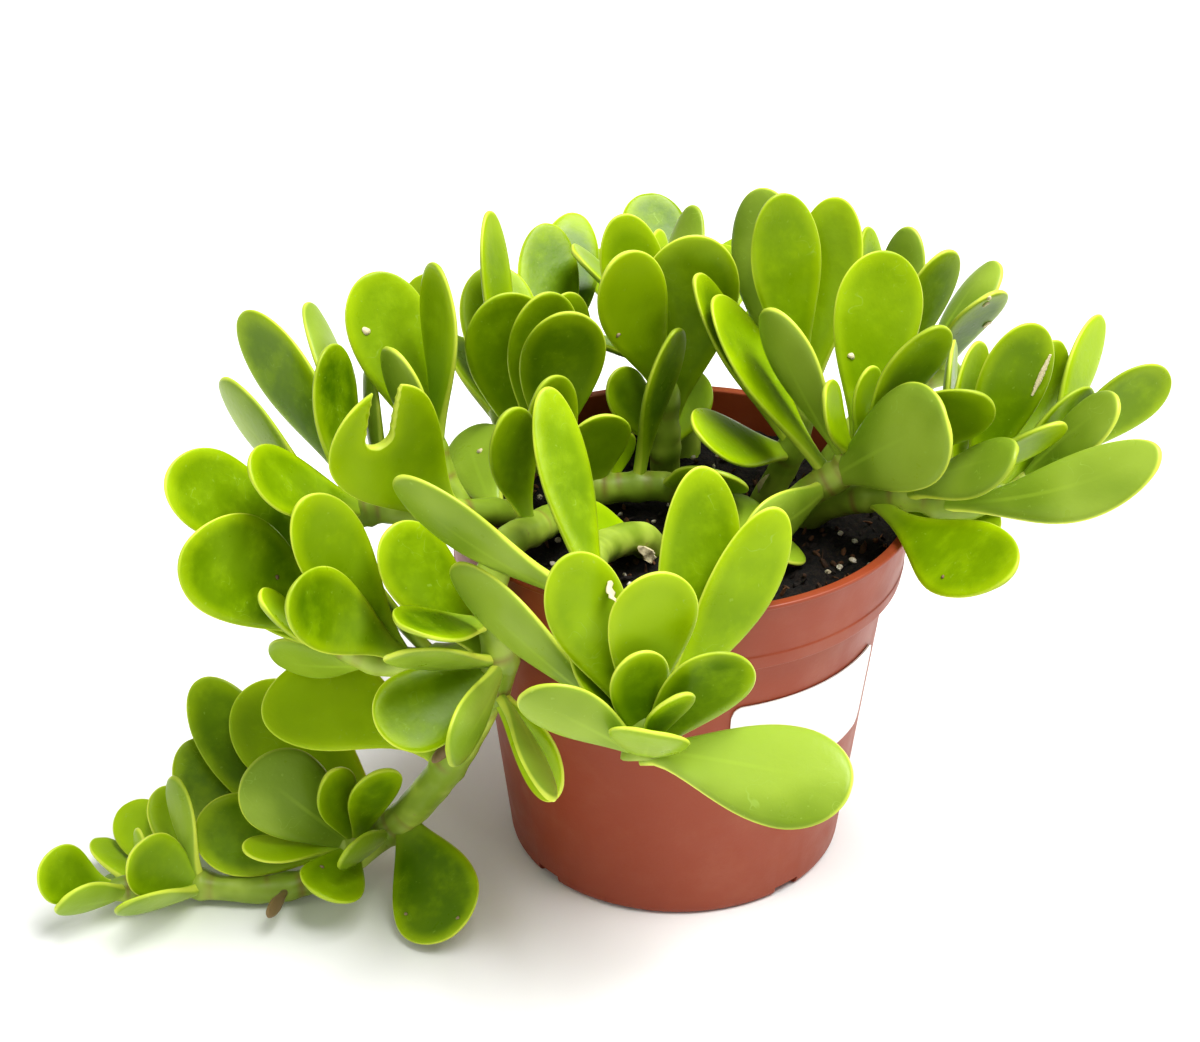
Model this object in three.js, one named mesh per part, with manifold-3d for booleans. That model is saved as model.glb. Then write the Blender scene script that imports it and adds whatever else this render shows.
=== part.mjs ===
// Potted trailing jade: a succulent with fleshy, spoon-shaped leaves in a round nursery pot.
// Millimetres, +Z up. The origin is the centre of the pot's underside, and the front is towards -Y.
import * as THREE from 'three';
import { mergeVertices } from 'three/addons/utils/BufferGeometryUtils.js';
import Module from 'manifold-3d';

const wasm = await Module();
wasm.setup();

const { clamp, degToRad, lerp, mapLinear } = THREE.MathUtils;

// Pot
const POT_HEIGHT = 130;
const RIM_RADIUS = 78;
const LIP = { height: 1.6, overhang: 1.2, bevel: 0.3 };
const BAND_FOOT_Z = 105;
const BAND_FOOT_RADIUS = 73.6;
const BAND_STEP = { z: 110, flare: 0.8, depth: 0.4, rise: 0.5 };
const WALL_TOP_RADIUS = 69.2;
const BASE_RADIUS = 56.6;
const BASE_CORNER = 3;
const WALL = 2.4;
const FLOOR_THICKNESS = 5;
const POT_SIDES = 40;
const NOTCH = { count: 4, firstAngle: 40, width: 10, height: 3.6, depth: 7 };
const RECESS = { count: 4, firstAngle: 70, width: 15, height: 1.2, depth: 5 };

// Soil
const SOIL_Z = 117;
const SOIL_RINGS = [62, 44, 22];
const SOIL_EDGE_INSET = 0.2;
const SOIL_BUMP = { height: 1.3, waves: [0.31, 0.13, -0.09, 0.27] };
const GAP = 0.3;

// Label: a blank sticker on the right front of the wall
const LABEL = { from: 283, to: 338, bottom: 56, top: 88, thickness: 0.6, corner: 4, steps: 16 };
const LABEL_CORNER_TURNS = [0, 0.3, 1.2, 2.6];

// Leaves
const FOOT_WIDTH = 0.18;
const WIDEST = 0.7;
const HALF_THICKNESS = 2.3;
const FULL_THICKNESS_WIDTH = 18;
const TIP_THINNING = 0.5;
const TAPER = { at2: 1.6, perRatio: 0.8, least: 1.4, most: 2.8 };
const STATIONS = [0, 0.22, 0.42, 0.58, 0.72, 0.86, 0.96];
const SLACK = 0.03;
const BITE = { radius: 4.8, from: [0.74, -0.2], to: [0.97, 7.8], holes: 6, depth: 20, sides: 16 };

// Stems
const STEM_SIDES = 8;
const STEM_END_BULGE = 0.4;
const STEPS_PER_POINT = 2;

// Turns of the leaves are counted from a blade that shows its upper face to the front, tilted up
const FRONT_RISE = 29;
const FRONT = heading(270, FRONT_RISE);

// The picture that the leaf tips are seen in: where it is seen from, in millimetres, how far down the
// view looks, and the middle and the distance of the picture, in its pixels
const VIEW_POINT = new THREE.Vector3(-26, -746, 537);
const VIEW_PITCH = 29.3;
const PICTURE_MIDDLE = [600, 521];
const PICTURE_DISTANCE = 2600;

// How leaves that would cross are pressed apart. They give way more in depth, as seen from the view
// point, than across the view.
const PRESS = {
  passes: 140, step: 0.5, most: 3, across: 0.3, hold: 0.03, holdDeep: 0.004, clearBetween: 1,
  clearWithin: -0.6, reach: 11, margin: 1.5, past: 0.03, leastShare: 0.12, footShare: 0.35, footReach: 14,
};
const SPOT_SHARES = [0.2, 0.35, 0.5, 0.65, 0.8, 0.9, 1];
const SPOT_SIDES = [-1, -0.5, 0, 0.5, 1];
const SPOT_SPACING = 6;
const FLOOR_CLEAR = 2.4;
const RIM_CLEAR = 3.2;

const MATERIALS = {
  pot: new THREE.MeshStandardMaterial({ color: 0x9b4b32, roughness: 0.55, metalness: 0 }),
  soil: new THREE.MeshStandardMaterial({ color: 0x1d1613, roughness: 0.95, metalness: 0 }),
  label: new THREE.MeshStandardMaterial({ color: 0xf4f4f4, roughness: 0.6, metalness: 0 }),
  leaf: new THREE.MeshStandardMaterial({ color: 0x79a81c, roughness: 0.4, metalness: 0 }),
};

// Each shoot has the points of its stem, as x, y, z and radius, and its leaves. A leaf has the place on
// the stem where it grows, from 0 to 1, the pixel of the picture where its tip is seen, its length and
// width, and its turn. Its tip is nearer than its foot, or further off where it leans far. Sweep and bow
// move its middle to its side and its upper face, and taper says how narrow its stalk is. A turn of SKY
// lays the blade with its upper face to the sky.
const SKY = null;
const GOLDEN_ANGLE = 137.5;
const TRAILING = [
  {
    points: [
      [-30, 6, 106, 5], [-36, -8, 125, 5], [-46, -32, 134, 5.5], [-55, -53, 139, 5.5],
      [-60, -62, 127, 5.5], [-57, -62, 103, 5.5], [-64, -55, 80, 5.5], [-74, -46, 55, 6],
      [-84, -39, 36, 6], [-94, -34, 21, 5.5], [-104, -36, 15, 5], [-113, -41, 16, 4],
    ],
    leaves: [
      { at: 0.1, tip: [548, 378], length: 56, width: 22, turn: 40 },
      { at: 0.2, tip: [508, 412], length: 50, width: 20, turn: 40 },
      { at: 0.4, tip: [406, 619], length: 42, width: 20, turn: 65 },
      { at: 0.45, tip: [392, 728], length: 46, width: 27, turn: 15 },
      { at: 0.45, tip: [388, 654], length: 46, width: 21, turn: 110 },
      { at: 0.45, tip: [442, 764], length: 44, width: 20, turn: 120 },
      { at: 0.5, tip: [545, 784], length: 43, width: 21, turn: 45 },
      { at: 0.5, tip: [560, 808], length: 56, width: 12, turn: 115 },
      { at: 0.55, tip: [432, 762], length: 24, width: 5, turn: 140 },
      { at: 0.65, tip: [264, 698], length: 64, width: 33, turn: 10, sweep: 7, taper: 2.6 },
      { at: 0.8, tip: [452, 938], length: 50, width: 32, turn: 10, taper: 1.3 },
      { at: 0.85, tip: [240, 690], length: 68, width: 34, turn: 10, far: true },
      { at: 0.85, tip: [331, 869], length: 34, width: 15, turn: 120 },
      { at: 0.9, tip: [229, 742], length: 62, width: 14, turn: 130, far: true },
      { at: 0.95, tip: [383, 746], length: 42, width: 18, turn: 35 },
      { at: 0.95, tip: [316, 750], length: 38, width: 17, turn: 35 },
      { at: 0.95, tip: [236, 768], length: 50, width: 30, turn: 180 },
      { at: 0.95, tip: [193, 834], length: 54, width: 28, turn: 10 },
      { at: 0.95, tip: [322, 896], length: 34, width: 22, turn: 10 },
      { at: 1, tip: [341, 794], length: 18, width: 8, turn: 30, far: true },
      { at: 1, tip: [242, 838], length: 34, width: 12, turn: 50 },
    ],
  },
  {
    points: [
      [-58, -61, 103, 4], [-67, -55, 101, 4.5], [-80, -52, 97, 4.5], [-93, -50, 95, 4.5],
      [-104, -49, 98, 4], [-112, -47, 103, 3.5],
    ],
    leaves: [
      { at: 0.05, tip: [388, 528], length: 53, width: 26, turn: 30 },
      { at: 0.5, tip: [302, 486], length: 70, width: 26, turn: 30 },
      { at: 0.35, tip: [324, 554], length: 49, width: 20, turn: 105 },
      { at: 0.5, tip: [262, 584], length: 66, width: 26, turn: 25, sweep: 3 },
      { at: 0.65, tip: [282, 545], length: 48, width: 24, turn: 35, far: true },
      { at: 0.7, tip: [234, 574], length: 52, width: 22, turn: 40 },
      { at: 0.7, tip: [268, 656], length: 36, width: 22, turn: 125, far: true },
      { at: 0.85, tip: [232, 586], length: 46, width: 18, turn: 65 },
      { at: 0.95, tip: [178, 546], length: 66, width: 34, turn: 15, sweep: 4 },
    ],
  },
  {
    points: [
      [-98, -35, 17, 4.5], [-116, -44, 8, 4.8], [-134, -50, 6, 4.8], [-150, -50, 6, 4.5],
      [-164, -49, 7, 4.2], [-178, -52, 8, 4], [-190, -55, 9, 3.5],
    ],
    leaves: [
      { at: 0.3, tip: [267, 916], length: 22, width: 5, turn: 140 },
      { at: 0.2, tip: [200, 684], length: 80, width: 25, turn: 15, far: true },
      { at: 0.4, tip: [188, 742], length: 58, width: 24, turn: 20, far: true },
      { at: 0.6, tip: [108, 903], length: 42, width: 16, turn: 120 },
      { at: 0.6, tip: [166, 776], length: 42, width: 14, turn: 130 },
      { at: 0.6, tip: [136, 853], length: 34, width: 22, turn: 15 },
      { at: 0.65, tip: [166, 790], length: 36, width: 18, turn: 35, far: true },
      { at: 0.7, tip: [121, 799], length: 38, width: 20, turn: 20, far: true },
      { at: 0.8, tip: [136, 824], length: 20, width: 7, turn: 130, far: true },
      { at: 0.85, tip: [90, 823], length: 30, width: 14, turn: 60, far: true },
      { at: 0.9, tip: [118, 862], length: 20, width: 12, turn: 40, far: true },
      { at: 0.95, tip: [47, 873], length: 32, width: 20, turn: 15, taper: 2.4 },
      { at: 0.9, tip: [48, 900], length: 30, width: 17, turn: 130 },
    ],
  },
];

const LEFT = [
  {
    points: [
      [-46, 2, 106, 4.5], [-52, -8, 124, 4.5], [-62, -22, 134, 4.5], [-75, -31, 138, 4.5],
      [-88, -32, 140, 4.5], [-100, -31, 139, 4.2], [-110, -33, 132, 4], [-116, -37, 124, 3.5],
    ],
    leaves: [
      { at: 0.25, tip: [468, 438], length: 37, width: 24, turn: 165, far: true },
      { at: 0.4, tip: [364, 398], length: 60, width: 38, turn: 5, sweep: -4, bitten: true },
      { at: 0.6, tip: [354, 370], length: 50, width: 18, turn: 110, far: true },
      { at: 0.7, tip: [256, 472], length: 50, width: 24, turn: 40 },
      { at: 0.7, tip: [268, 300], length: 76, width: 27, turn: -48, far: true },
      { at: 0.7, tip: [297, 296], length: 74, width: 22, turn: -110, far: true },
      { at: 0.75, tip: [326, 339], length: 56, width: 24, turn: 60 },
      { at: 0.8, tip: [228, 380], length: 60, width: 26, turn: 115 },
      { at: 0.95, tip: [174, 478], length: 58, width: 29, turn: 30, sweep: 2 },
    ],
  },
  {
    points: [[-70, -26, 138, 4], [-76, -21, 148, 4], [-79, -16, 158, 3.5]],
    leaves: [
      { at: 0.5, tip: [387, 345], length: 46, width: 20, turn: 120 },
      { at: 0.7, tip: [367, 276], length: 62, width: 28, turn: 20, far: true },
      { at: 0.8, tip: [419, 270], length: 60, width: 24, turn: -35, far: true },
      { at: 0.85, tip: [434, 255], length: 60, width: 24, turn: -60, far: true },
    ],
  },
];

const FRONT_DROOP = [
  {
    points: [
      [-8, -14, 106, 5], [-12, -22, 124, 5.5], [-24, -40, 132, 5.5], [-29, -62, 139, 5.5],
      [-26, -82, 140, 5.5], [-21, -96, 126, 5], [-16, -104, 112, 4.5], [-13, -107, 100, 4],
    ],
    leaves: [
      { at: 0.1, tip: [583, 512], length: 30, width: 14, turn: 40 },
      { at: 0.6, tip: [398, 491], length: 72, width: 22, turn: 125, sweep: 3 },
      { at: 0.7, tip: [547, 388], length: 84, width: 19, turn: 35, far: true },
      { at: 0.9, tip: [704, 498], length: 80, width: 26, turn: 20, far: true, sweep: 6 },
      { at: 0.95, tip: [770, 524], length: 80, width: 24, turn: 30, far: true, sweep: 4 },
      { at: 0.9, tip: [460, 553], length: 74, width: 22, turn: 130, far: true },
      { at: 0.9, tip: [560, 562], length: 60, width: 25, turn: 15 },
      { at: 1, tip: [628, 634], length: 38, width: 19, turn: 20 },
      { at: 1, tip: [571, 653], length: 40, width: 13, turn: 50 },
      { at: 0.9, tip: [664, 566], length: 52, width: 27, turn: 20 },
      { at: 1, tip: [692, 656], length: 36, width: 14, turn: 45 },
      { at: 1, tip: [656, 700], length: 28, width: 24, turn: 180 },
      { at: 1, tip: [751, 642], length: 46, width: 26, turn: 35 },
      { at: 1, tip: [508, 690], length: 47, width: 21, turn: 140, sweep: -2 },
      { at: 1, tip: [852, 788], length: 65, width: 32, turn: 155 },
    ],
  },
];

const RIGHT_ROSETTE = [
  {
    points: [
      [20, -4, 106, 5], [30, -10, 124, 5], [42, -12, 136, 5], [52, -12, 143, 4.5],
      [57, -10, 150, 3.5],
    ],
    leaves: [
      { at: 0.2, tip: [797, 582], length: 26, width: 15, turn: 135 },
      { at: 0.6, tip: [740, 547], length: 46, width: 22, turn: 135 },
      { at: 0.65, tip: [712, 296], length: 70, width: 23, turn: 50 },
      { at: 0.7, tip: [954, 408], length: 58, width: 33, turn: 160 },
      { at: 0.85, tip: [786, 320], length: 58, width: 21, turn: 125 },
      { at: 0.9, tip: [820, 384], length: 40, width: 16, turn: 50 },
      { at: 0.8, tip: [994, 392], length: 58, width: 25, turn: 40 },
      { at: 1, tip: [892, 258], length: 64, width: 30, turn: 15 },
      { at: 1, tip: [943, 312], length: 56, width: 20, turn: 40 },
      { at: 1, tip: [861, 366], length: 30, width: 12, turn: 40 },
    ],
  },
];

const RIGHT = [
  {
    points: [
      [34, 8, 106, 5], [46, -2, 124, 5], [60, -12, 134, 5], [74, -22, 139, 4.5],
      [87, -26, 138, 4.5], [101, -22, 140, 4.2], [114, -15, 144, 4], [126, -7, 148, 3.5],
    ],
    leaves: [
      { at: 0.3, tip: [1028, 602], length: 80, width: 28, turn: -5, sweep: 3, taper: 3.4 },
      { at: 0.4, tip: [1028, 456], length: 52, width: 22, turn: 130 },
      { at: 0.25, tip: [984, 542], length: 48, width: 22, turn: -35, bow: 3 },
      { at: 0.5, tip: [1162, 454], length: 78, width: 23, turn: 155, sweep: -6 },
      { at: 0.5, tip: [1056, 424], length: 50, width: 18, turn: 60 },
      { at: 0.6, tip: [1074, 338], length: 66, width: 26, turn: 45, far: true },
      { at: 0.6, tip: [1036, 332], length: 62, width: 24, turn: 20 },
      { at: 0.55, tip: [957, 334], length: 58, width: 16, turn: 75, far: true },
      { at: 0.55, tip: [977, 347], length: 54, width: 18, turn: 50, far: true },
      { at: 0.7, tip: [1087, 391], length: 46, width: 20, turn: 55, far: true },
      { at: 0.8, tip: [1124, 382], length: 46, width: 20, turn: 125 },
      { at: 0.9, tip: [1118, 302], length: 58, width: 18, turn: 50, far: true },
      { at: 0.9, tip: [1157, 369], length: 48, width: 24, turn: 40, far: true },
    ],
  },
];

const UPPER_RIGHT = [
  {
    points: [
      [24, 18, 106, 5], [32, 15, 124, 5], [37, 11, 138, 4.5], [40, 10, 150, 4],
      [41, 11, 162, 3.5],
    ],
    leaves: [
      { at: 0.5, tip: [688, 438], length: 46, width: 24, turn: 45 },
      { at: 0.55, tip: [701, 273], length: 68, width: 20, turn: 55 },
      { at: 0.8, tip: [836, 197], length: 73, width: 26, turn: -35, far: true },
      { at: 0.8, tip: [756, 189], length: 78, width: 28, turn: 145, far: true },
      { at: 0.9, tip: [776, 190], length: 70, width: 25, turn: 20 },
    ],
  },
];

const BACK_RIGHT = [
  {
    points: [
      [44, 26, 106, 5], [54, 32, 126, 5], [66, 37, 140, 4.5], [80, 40, 149, 4.5],
      [94, 42, 154, 4],
    ],
    leaves: [
      { at: 0.6, tip: [871, 222], length: 60, width: 18, turn: 55, far: true },
      { at: 0.6, tip: [908, 226], length: 58, width: 18, turn: 140, far: true },
      { at: 0.6, tip: [951, 243], length: 58, width: 20, turn: 40 },
      { at: 0.8, tip: [996, 261], length: 48, width: 20, turn: 120, far: true },
      { at: 0.9, tip: [996, 293], length: 48, width: 20, turn: 50 },
    ],
  },
];

const TOP = [
  {
    points: [[-4, 26, 106, 5], [-4, 26, 126, 5], [-4, 24, 142, 4.5], [-4, 27, 156, 4]],
    leaves: [
      { at: 0.45, tip: [619, 380], length: 34, width: 18, turn: 30 },
      { at: 0.45, tip: [706, 377], length: 34, width: 18, turn: 35, far: true },
      { at: 0.6, tip: [700, 233], length: 70, width: 33, turn: 10 },
      { at: 0.85, tip: [618, 252], length: 66, width: 26, turn: 20 },
      { at: 0.85, tip: [619, 208], length: 64, width: 23, turn: 20, far: true },
      { at: 0.95, tip: [688, 201], length: 62, width: 17, turn: 135, far: true },
      { at: 0.95, tip: [666, 224], length: 58, width: 14, turn: 55, far: true },
    ],
  },
];

const CENTRE = [
  {
    points: [
      [14, 8, 106, 5], [8, 9, 121, 5], [-4, 9, 126, 5], [-16, 9, 126, 5], [-30, 9, 126, 5],
      [-44, 11, 134, 4.5], [-55, 14, 143, 4], [-60, 18, 151, 3.5],
    ],
    leaves: [
      { at: 0.2, tip: [750, 518], length: 34, width: 20, turn: 140 },
      { at: 0.3, tip: [755, 480], length: 40, width: 22, turn: 65 },
      { at: 0.4, tip: [678, 328], length: 58, width: 18, turn: 60 },
      { at: 0.5, tip: [632, 431], length: 20, width: 7, turn: 30, far: true },
      { at: 0.55, tip: [600, 408], length: 34, width: 22, turn: 20 },
      { at: 0.7, tip: [570, 300], length: 64, width: 28, turn: 15 },
      { at: 0.7, tip: [574, 288], length: 58, width: 22, turn: 40, far: true },
      { at: 0.75, tip: [546, 294], length: 62, width: 25, turn: 30 },
      { at: 0.8, tip: [500, 312], length: 55, width: 30, turn: 15 },
      { at: 0.85, tip: [458, 336], length: 50, width: 20, turn: 60, far: true },
      { at: 0.85, tip: [493, 258], length: 62, width: 27, turn: 15, far: true },
      { at: 0.8, tip: [490, 216], length: 79, width: 18, turn: 60, far: true },
    ],
  },
];

const BACK_LEFT = [
  {
    points: [[-34, 36, 106, 5], [-40, 42, 128, 5], [-46, 50, 144, 4.5], [-52, 56, 154, 4]],
    leaves: [
      { at: 0.5, tip: [552, 226], length: 71, width: 23, turn: 20, far: true },
      { at: 0.55, tip: [580, 198], length: 84, width: 23, turn: 10, far: true },
    ],
  },
];

const BACK = [
  {
    points: [
      [4, 46, 106, 5], [4, 54, 126, 5], [4, 66, 138, 4.5], [2, 80, 143, 4.5], [0, 94, 146, 4],
      [2, 106, 150, 3.5],
    ],
    leaves: spiral({ from: 0.5, to: 1, count: 11, compass: 85, rise: 24, length: 54, width: 27 }),
  },
];

const TREE = {
  trailing_stem: TRAILING,
  left_stem: LEFT,
  front_stem: FRONT_DROOP,
  right_rosette: RIGHT_ROSETTE,
  right_stem: RIGHT,
  upper_right_stem: UPPER_RIGHT,
  back_right_stem: BACK_RIGHT,
  top_stem: TOP,
  centre_stem: CENTRE,
  back_left_stem: BACK_LEFT,
  back_stem: BACK,
};

// Direction of a compass heading (0 is +X, 90 is +Y) and a rise
function heading(compass, rise) {
  const a = degToRad(compass);
  const b = degToRad(rise);
  return new THREE.Vector3(Math.cos(a) * Math.cos(b), Math.sin(a) * Math.cos(b), Math.sin(b));
}

// Direction in which a pixel of the picture is seen from the view point
function sightOf([x, y]) {
  const sight = new THREE.Vector3(x - PICTURE_MIDDLE[0], PICTURE_MIDDLE[1] - y, -PICTURE_DISTANCE);
  return sight.applyAxisAngle(new THREE.Vector3(1, 0, 0), degToRad(90 - VIEW_PITCH)).normalize();
}

// Direction of a leaf: its tip lies on its line of sight, a leaf's length from its foot
function directionOf({ tip, length, far, compass, rise }, foot) {
  if (!tip) return heading(compass, rise);
  const sight = sightOf(tip);
  const toFoot = foot.clone().sub(VIEW_POINT);
  const abreast = toFoot.dot(sight);
  const aside = toFoot.lengthSq() - abreast * abreast;
  const lean = Math.sqrt(Math.max(0, length * length - aside));
  const reach = abreast + (far ? lean : -lean);
  return sight.multiplyScalar(reach).add(VIEW_POINT).sub(foot).normalize();
}

// Leaves that follow each other up a stem, each a golden angle further round it. Towards the
// tip they stand up more and are smaller, and a wave makes neighbours differ.
function spiral({ from, to, count, compass, rise, length, width }) {
  return Array.from({ length: count }, (_, i) => {
    const part = i / (count - 1);
    const wave = 3 * Math.sin(i * 2.4);
    return {
      at: from + (to - from) * part,
      compass: compass + i * GOLDEN_ANGLE,
      rise: rise + 14 * part + 2 * wave,
      length: length - 8 * part + wave,
      width: width - 3 * part,
      turn: SKY,
    };
  });
}

// A closed skin over rings of points, each counter-clockwise as seen against the direction of travel
function skin(first, rings, last) {
  const sides = rings[0].length;
  const end = 1 + rings.length * sides;
  const at = (ring, side) => 1 + ring * sides + (side % sides);
  const faces = [];
  for (let side = 0; side < sides; side += 1) {
    faces.push(0, at(0, side + 1), at(0, side));
    for (let ring = 0; ring < rings.length - 1; ring += 1) {
      faces.push(at(ring, side), at(ring, side + 1), at(ring + 1, side + 1));
      faces.push(at(ring, side), at(ring + 1, side + 1), at(ring + 1, side));
    }
    faces.push(end, at(rings.length - 1, side), at(rings.length - 1, side + 1));
  }
  const geometry = new THREE.BufferGeometry().setFromPoints([first, ...rings.flat(), last]);
  geometry.setIndex(faces);
  return geometry;
}

// A solid for joining and cutting
function solid(geometry) {
  const bare = geometry.clone();
  bare.deleteAttribute('normal');
  bare.deleteAttribute('uv');
  const merged = mergeVertices(bare, 1e-4);
  return new wasm.Manifold(new wasm.Mesh({
    numProp: 3,
    vertProperties: new Float32Array(merged.attributes.position.array),
    triVerts: new Uint32Array(merged.index.array),
  }));
}

// The named mesh of a solid's largest body, so that no scrap and no sealed hollow is kept
function meshOf(name, body, material) {
  const bodies = body.decompose();
  const largest = bodies.reduce((a, b) => (a.volume() > b.volume() ? a : b));
  const { vertProperties, triVerts } = largest.getMesh();
  const geometry = new THREE.BufferGeometry();
  geometry.setAttribute('position', new THREE.BufferAttribute(vertProperties, 3));
  geometry.setIndex(new THREE.BufferAttribute(triVerts, 1));
  geometry.computeVertexNormals();
  const mesh = new THREE.Mesh(geometry, material);
  mesh.name = name;
  return mesh;
}

function onRound(radius, degrees, z) {
  const a = degToRad(degrees);
  return new THREE.Vector3(radius * Math.cos(a), radius * Math.sin(a), z);
}

// A round body from its profile of radius and height, which runs from the axis to the axis again
function turned(profile) {
  const outline = profile.map(([radius, z]) => new THREE.Vector2(radius, z));
  return new THREE.LatheGeometry(outline, POT_SIDES).rotateX(Math.PI / 2);
}

function wallRadius(z) {
  const share = (z - BASE_CORNER) / (BAND_FOOT_Z - BASE_CORNER);
  return lerp(BASE_RADIUS, WALL_TOP_RADIUS, share);
}

function notchBlock({ width, height, depth }, degrees) {
  const block = new THREE.BoxGeometry(2 * depth, width, 2 * height);
  block.rotateZ(degToRad(degrees));
  const middle = onRound(BASE_RADIUS, degrees, 0);
  block.translate(middle.x, middle.y, 0);
  return solid(block);
}

function makePot() {
  const outside = [
    [BASE_RADIUS - BASE_CORNER, 0],
    [BASE_RADIUS - BASE_CORNER / 3, BASE_CORNER / 3],
    [BASE_RADIUS, BASE_CORNER],
    [WALL_TOP_RADIUS, BAND_FOOT_Z],
    [BAND_FOOT_RADIUS, BAND_FOOT_Z],
    [BAND_FOOT_RADIUS + BAND_STEP.flare, BAND_STEP.z],
    [BAND_FOOT_RADIUS + BAND_STEP.flare - BAND_STEP.depth, BAND_STEP.z + BAND_STEP.rise],
    [RIM_RADIUS - LIP.overhang, POT_HEIGHT - LIP.height],
    [RIM_RADIUS, POT_HEIGHT - LIP.height + LIP.bevel],
    [RIM_RADIUS - LIP.bevel, POT_HEIGHT],
  ];
  const inside = soilRoom(0).reverse();
  let pot = solid(turned([[0, 0], ...outside, ...inside, [0, FLOOR_THICKNESS]]));
  for (const cut of [NOTCH, RECESS]) {
    for (let i = 0; i < cut.count; i += 1) {
      pot = pot.subtract(notchBlock(cut, cut.firstAngle + (360 / cut.count) * i));
    }
  }
  return pot;
}

// The room inside the pot, from its floor up, drawn in by a gap
function soilRoom(gap) {
  return [
    [BASE_RADIUS - WALL - gap, FLOOR_THICKNESS + gap],
    [WALL_TOP_RADIUS - WALL - gap, BAND_FOOT_Z - WALL + gap],
    [BAND_FOOT_RADIUS - WALL - gap, BAND_FOOT_Z + gap],
    [RIM_RADIUS - LIP.overhang - WALL - gap, POT_HEIGHT],
  ];
}

function makeSoil(stems) {
  const room = soilRoom(GAP);
  const [, , [lowRadius, lowZ], [highRadius, highZ]] = room;
  const edge = mapLinear(SOIL_Z, lowZ, highZ, lowRadius, highRadius);
  const [a, b, c, d] = SOIL_BUMP.waves;
  const bump = (x, y) => SOIL_BUMP.height * Math.sin(x * a + y * b) * Math.cos(x * c + y * d);
  const top = [edge - SOIL_EDGE_INSET, ...SOIL_RINGS, 0].map((radius) => [radius, SOIL_Z]);
  const body = turned([[0, FLOOR_THICKNESS + GAP], ...room.slice(0, 3), ...top]);
  const { position } = body.attributes;
  for (let i = 0; i < position.count; i += 1) {
    if (position.getZ(i) > lowZ) position.setZ(i, SOIL_Z + bump(position.getX(i), position.getY(i)));
  }
  let soil = solid(body);
  for (const stem of stems) {
    if (stem.curve.points[0].z < SOIL_Z) soil = soil.subtract(stemSolid(stem, GAP));
  }
  return soil;
}

function makeLabel() {
  const { from, to, bottom, top, thickness, corner, steps } = LABEL;
  const section = (degrees) => {
    const run = degToRad(Math.min(degrees - from, to - degrees)) * WALL_TOP_RADIUS;
    const inset = Math.max(0, corner - run);
    const cut = corner - Math.sqrt(Math.max(0, corner * corner - inset * inset));
    const low = bottom + cut;
    const high = top - cut;
    return [
      onRound(wallRadius(low) + GAP + thickness, degrees, low),
      onRound(wallRadius(low) + GAP, degrees, low),
      onRound(wallRadius(high) + GAP, degrees, high),
      onRound(wallRadius(high) + GAP + thickness, degrees, high),
    ];
  };
  const middles = Array.from({ length: steps - 1 }, (_, i) => from + ((to - from) / steps) * (i + 1));
  const ends = LABEL_CORNER_TURNS.flatMap((turn) => [from + turn, to - turn]);
  const rings = [...ends, ...middles].sort((a, b) => a - b).map(section);
  const centre = (ring) => ring[0].clone().add(ring[2]).divideScalar(2);
  return solid(skin(centre(rings[0]), rings, centre(rings[rings.length - 1])));
}

function makeStem(shoot, { points }) {
  const places = points.map(([x, y, z]) => new THREE.Vector3(x, y, z));
  const curve = new THREE.CatmullRomCurve3(places, false, 'catmullrom', 0.5);
  const steps = (points.length - 1) * STEPS_PER_POINT;
  return { shoot, curve, steps, radii: points.map((point) => point[3]) };
}

function stemRadius({ radii }, share) {
  const at = share * (radii.length - 1);
  const low = Math.min(Math.floor(at), radii.length - 2);
  return lerp(radii[low], radii[low + 1], at - low);
}

function stemSolid(stem, grow = 0) {
  const side = new THREE.Vector3(0, 0, 1);
  const rings = [];
  for (let step = 0; step <= stem.steps; step += 1) {
    const share = step / stem.steps;
    const along = stem.curve.getTangent(share);
    if (Math.abs(side.dot(along)) > 0.95) side.set(0, 1, 0);
    side.addScaledVector(along, -side.dot(along)).normalize();
    const across = along.clone().cross(side);
    const radius = stemRadius(stem, share) + grow;
    const middle = stem.curve.getPoint(share);
    rings.push(Array.from({ length: STEM_SIDES }, (_, i) => {
      const turn = (2 * Math.PI * i) / STEM_SIDES;
      const point = middle.clone().addScaledVector(side, radius * Math.cos(turn));
      return point.addScaledVector(across, radius * Math.sin(turn));
    }));
  }
  const past = (share, sign) => {
    const reach = sign * (STEM_END_BULGE * stemRadius(stem, share) + grow);
    return stem.curve.getPoint(share).addScaledVector(stem.curve.getTangent(share), reach);
  };
  return solid(skin(past(0, -1), rings, past(1, 1)));
}

function makeLeaf(shoot, stem, row) {
  const { at, length, width, turn, bow = -SLACK * length, sweep = 0, taper, bitten } = row;
  const foot = stem.curve.getPoint(at);
  const along = directionOf(row, foot);
  const toward = turn === SKY ? new THREE.Vector3(0, 0, 1) : FRONT;
  const face = toward.clone().addScaledVector(along, -toward.dot(along)).normalize();
  face.applyAxisAngle(along, degToRad(turn ?? 0));
  const side = along.clone().cross(face);
  return { shoot, stem, foot, along, face, side, length, width, bow, sweep, taper, bitten };
}

function halfWidth({ length, width, taper }, share) {
  const usual = clamp(TAPER.at2 + TAPER.perRatio * (length / width - 2), TAPER.least, TAPER.most);
  const toTip = (share - WIDEST) / (1 - WIDEST);
  if (toTip > 0) return (width / 2) * Math.sqrt(Math.max(0, 1 - toTip * toTip));
  const swell = Math.sin((Math.PI / 2) * (share / WIDEST)) ** (taper ?? usual);
  return (width / 2) * (FOOT_WIDTH + (1 - FOOT_WIDTH) * swell);
}

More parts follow.
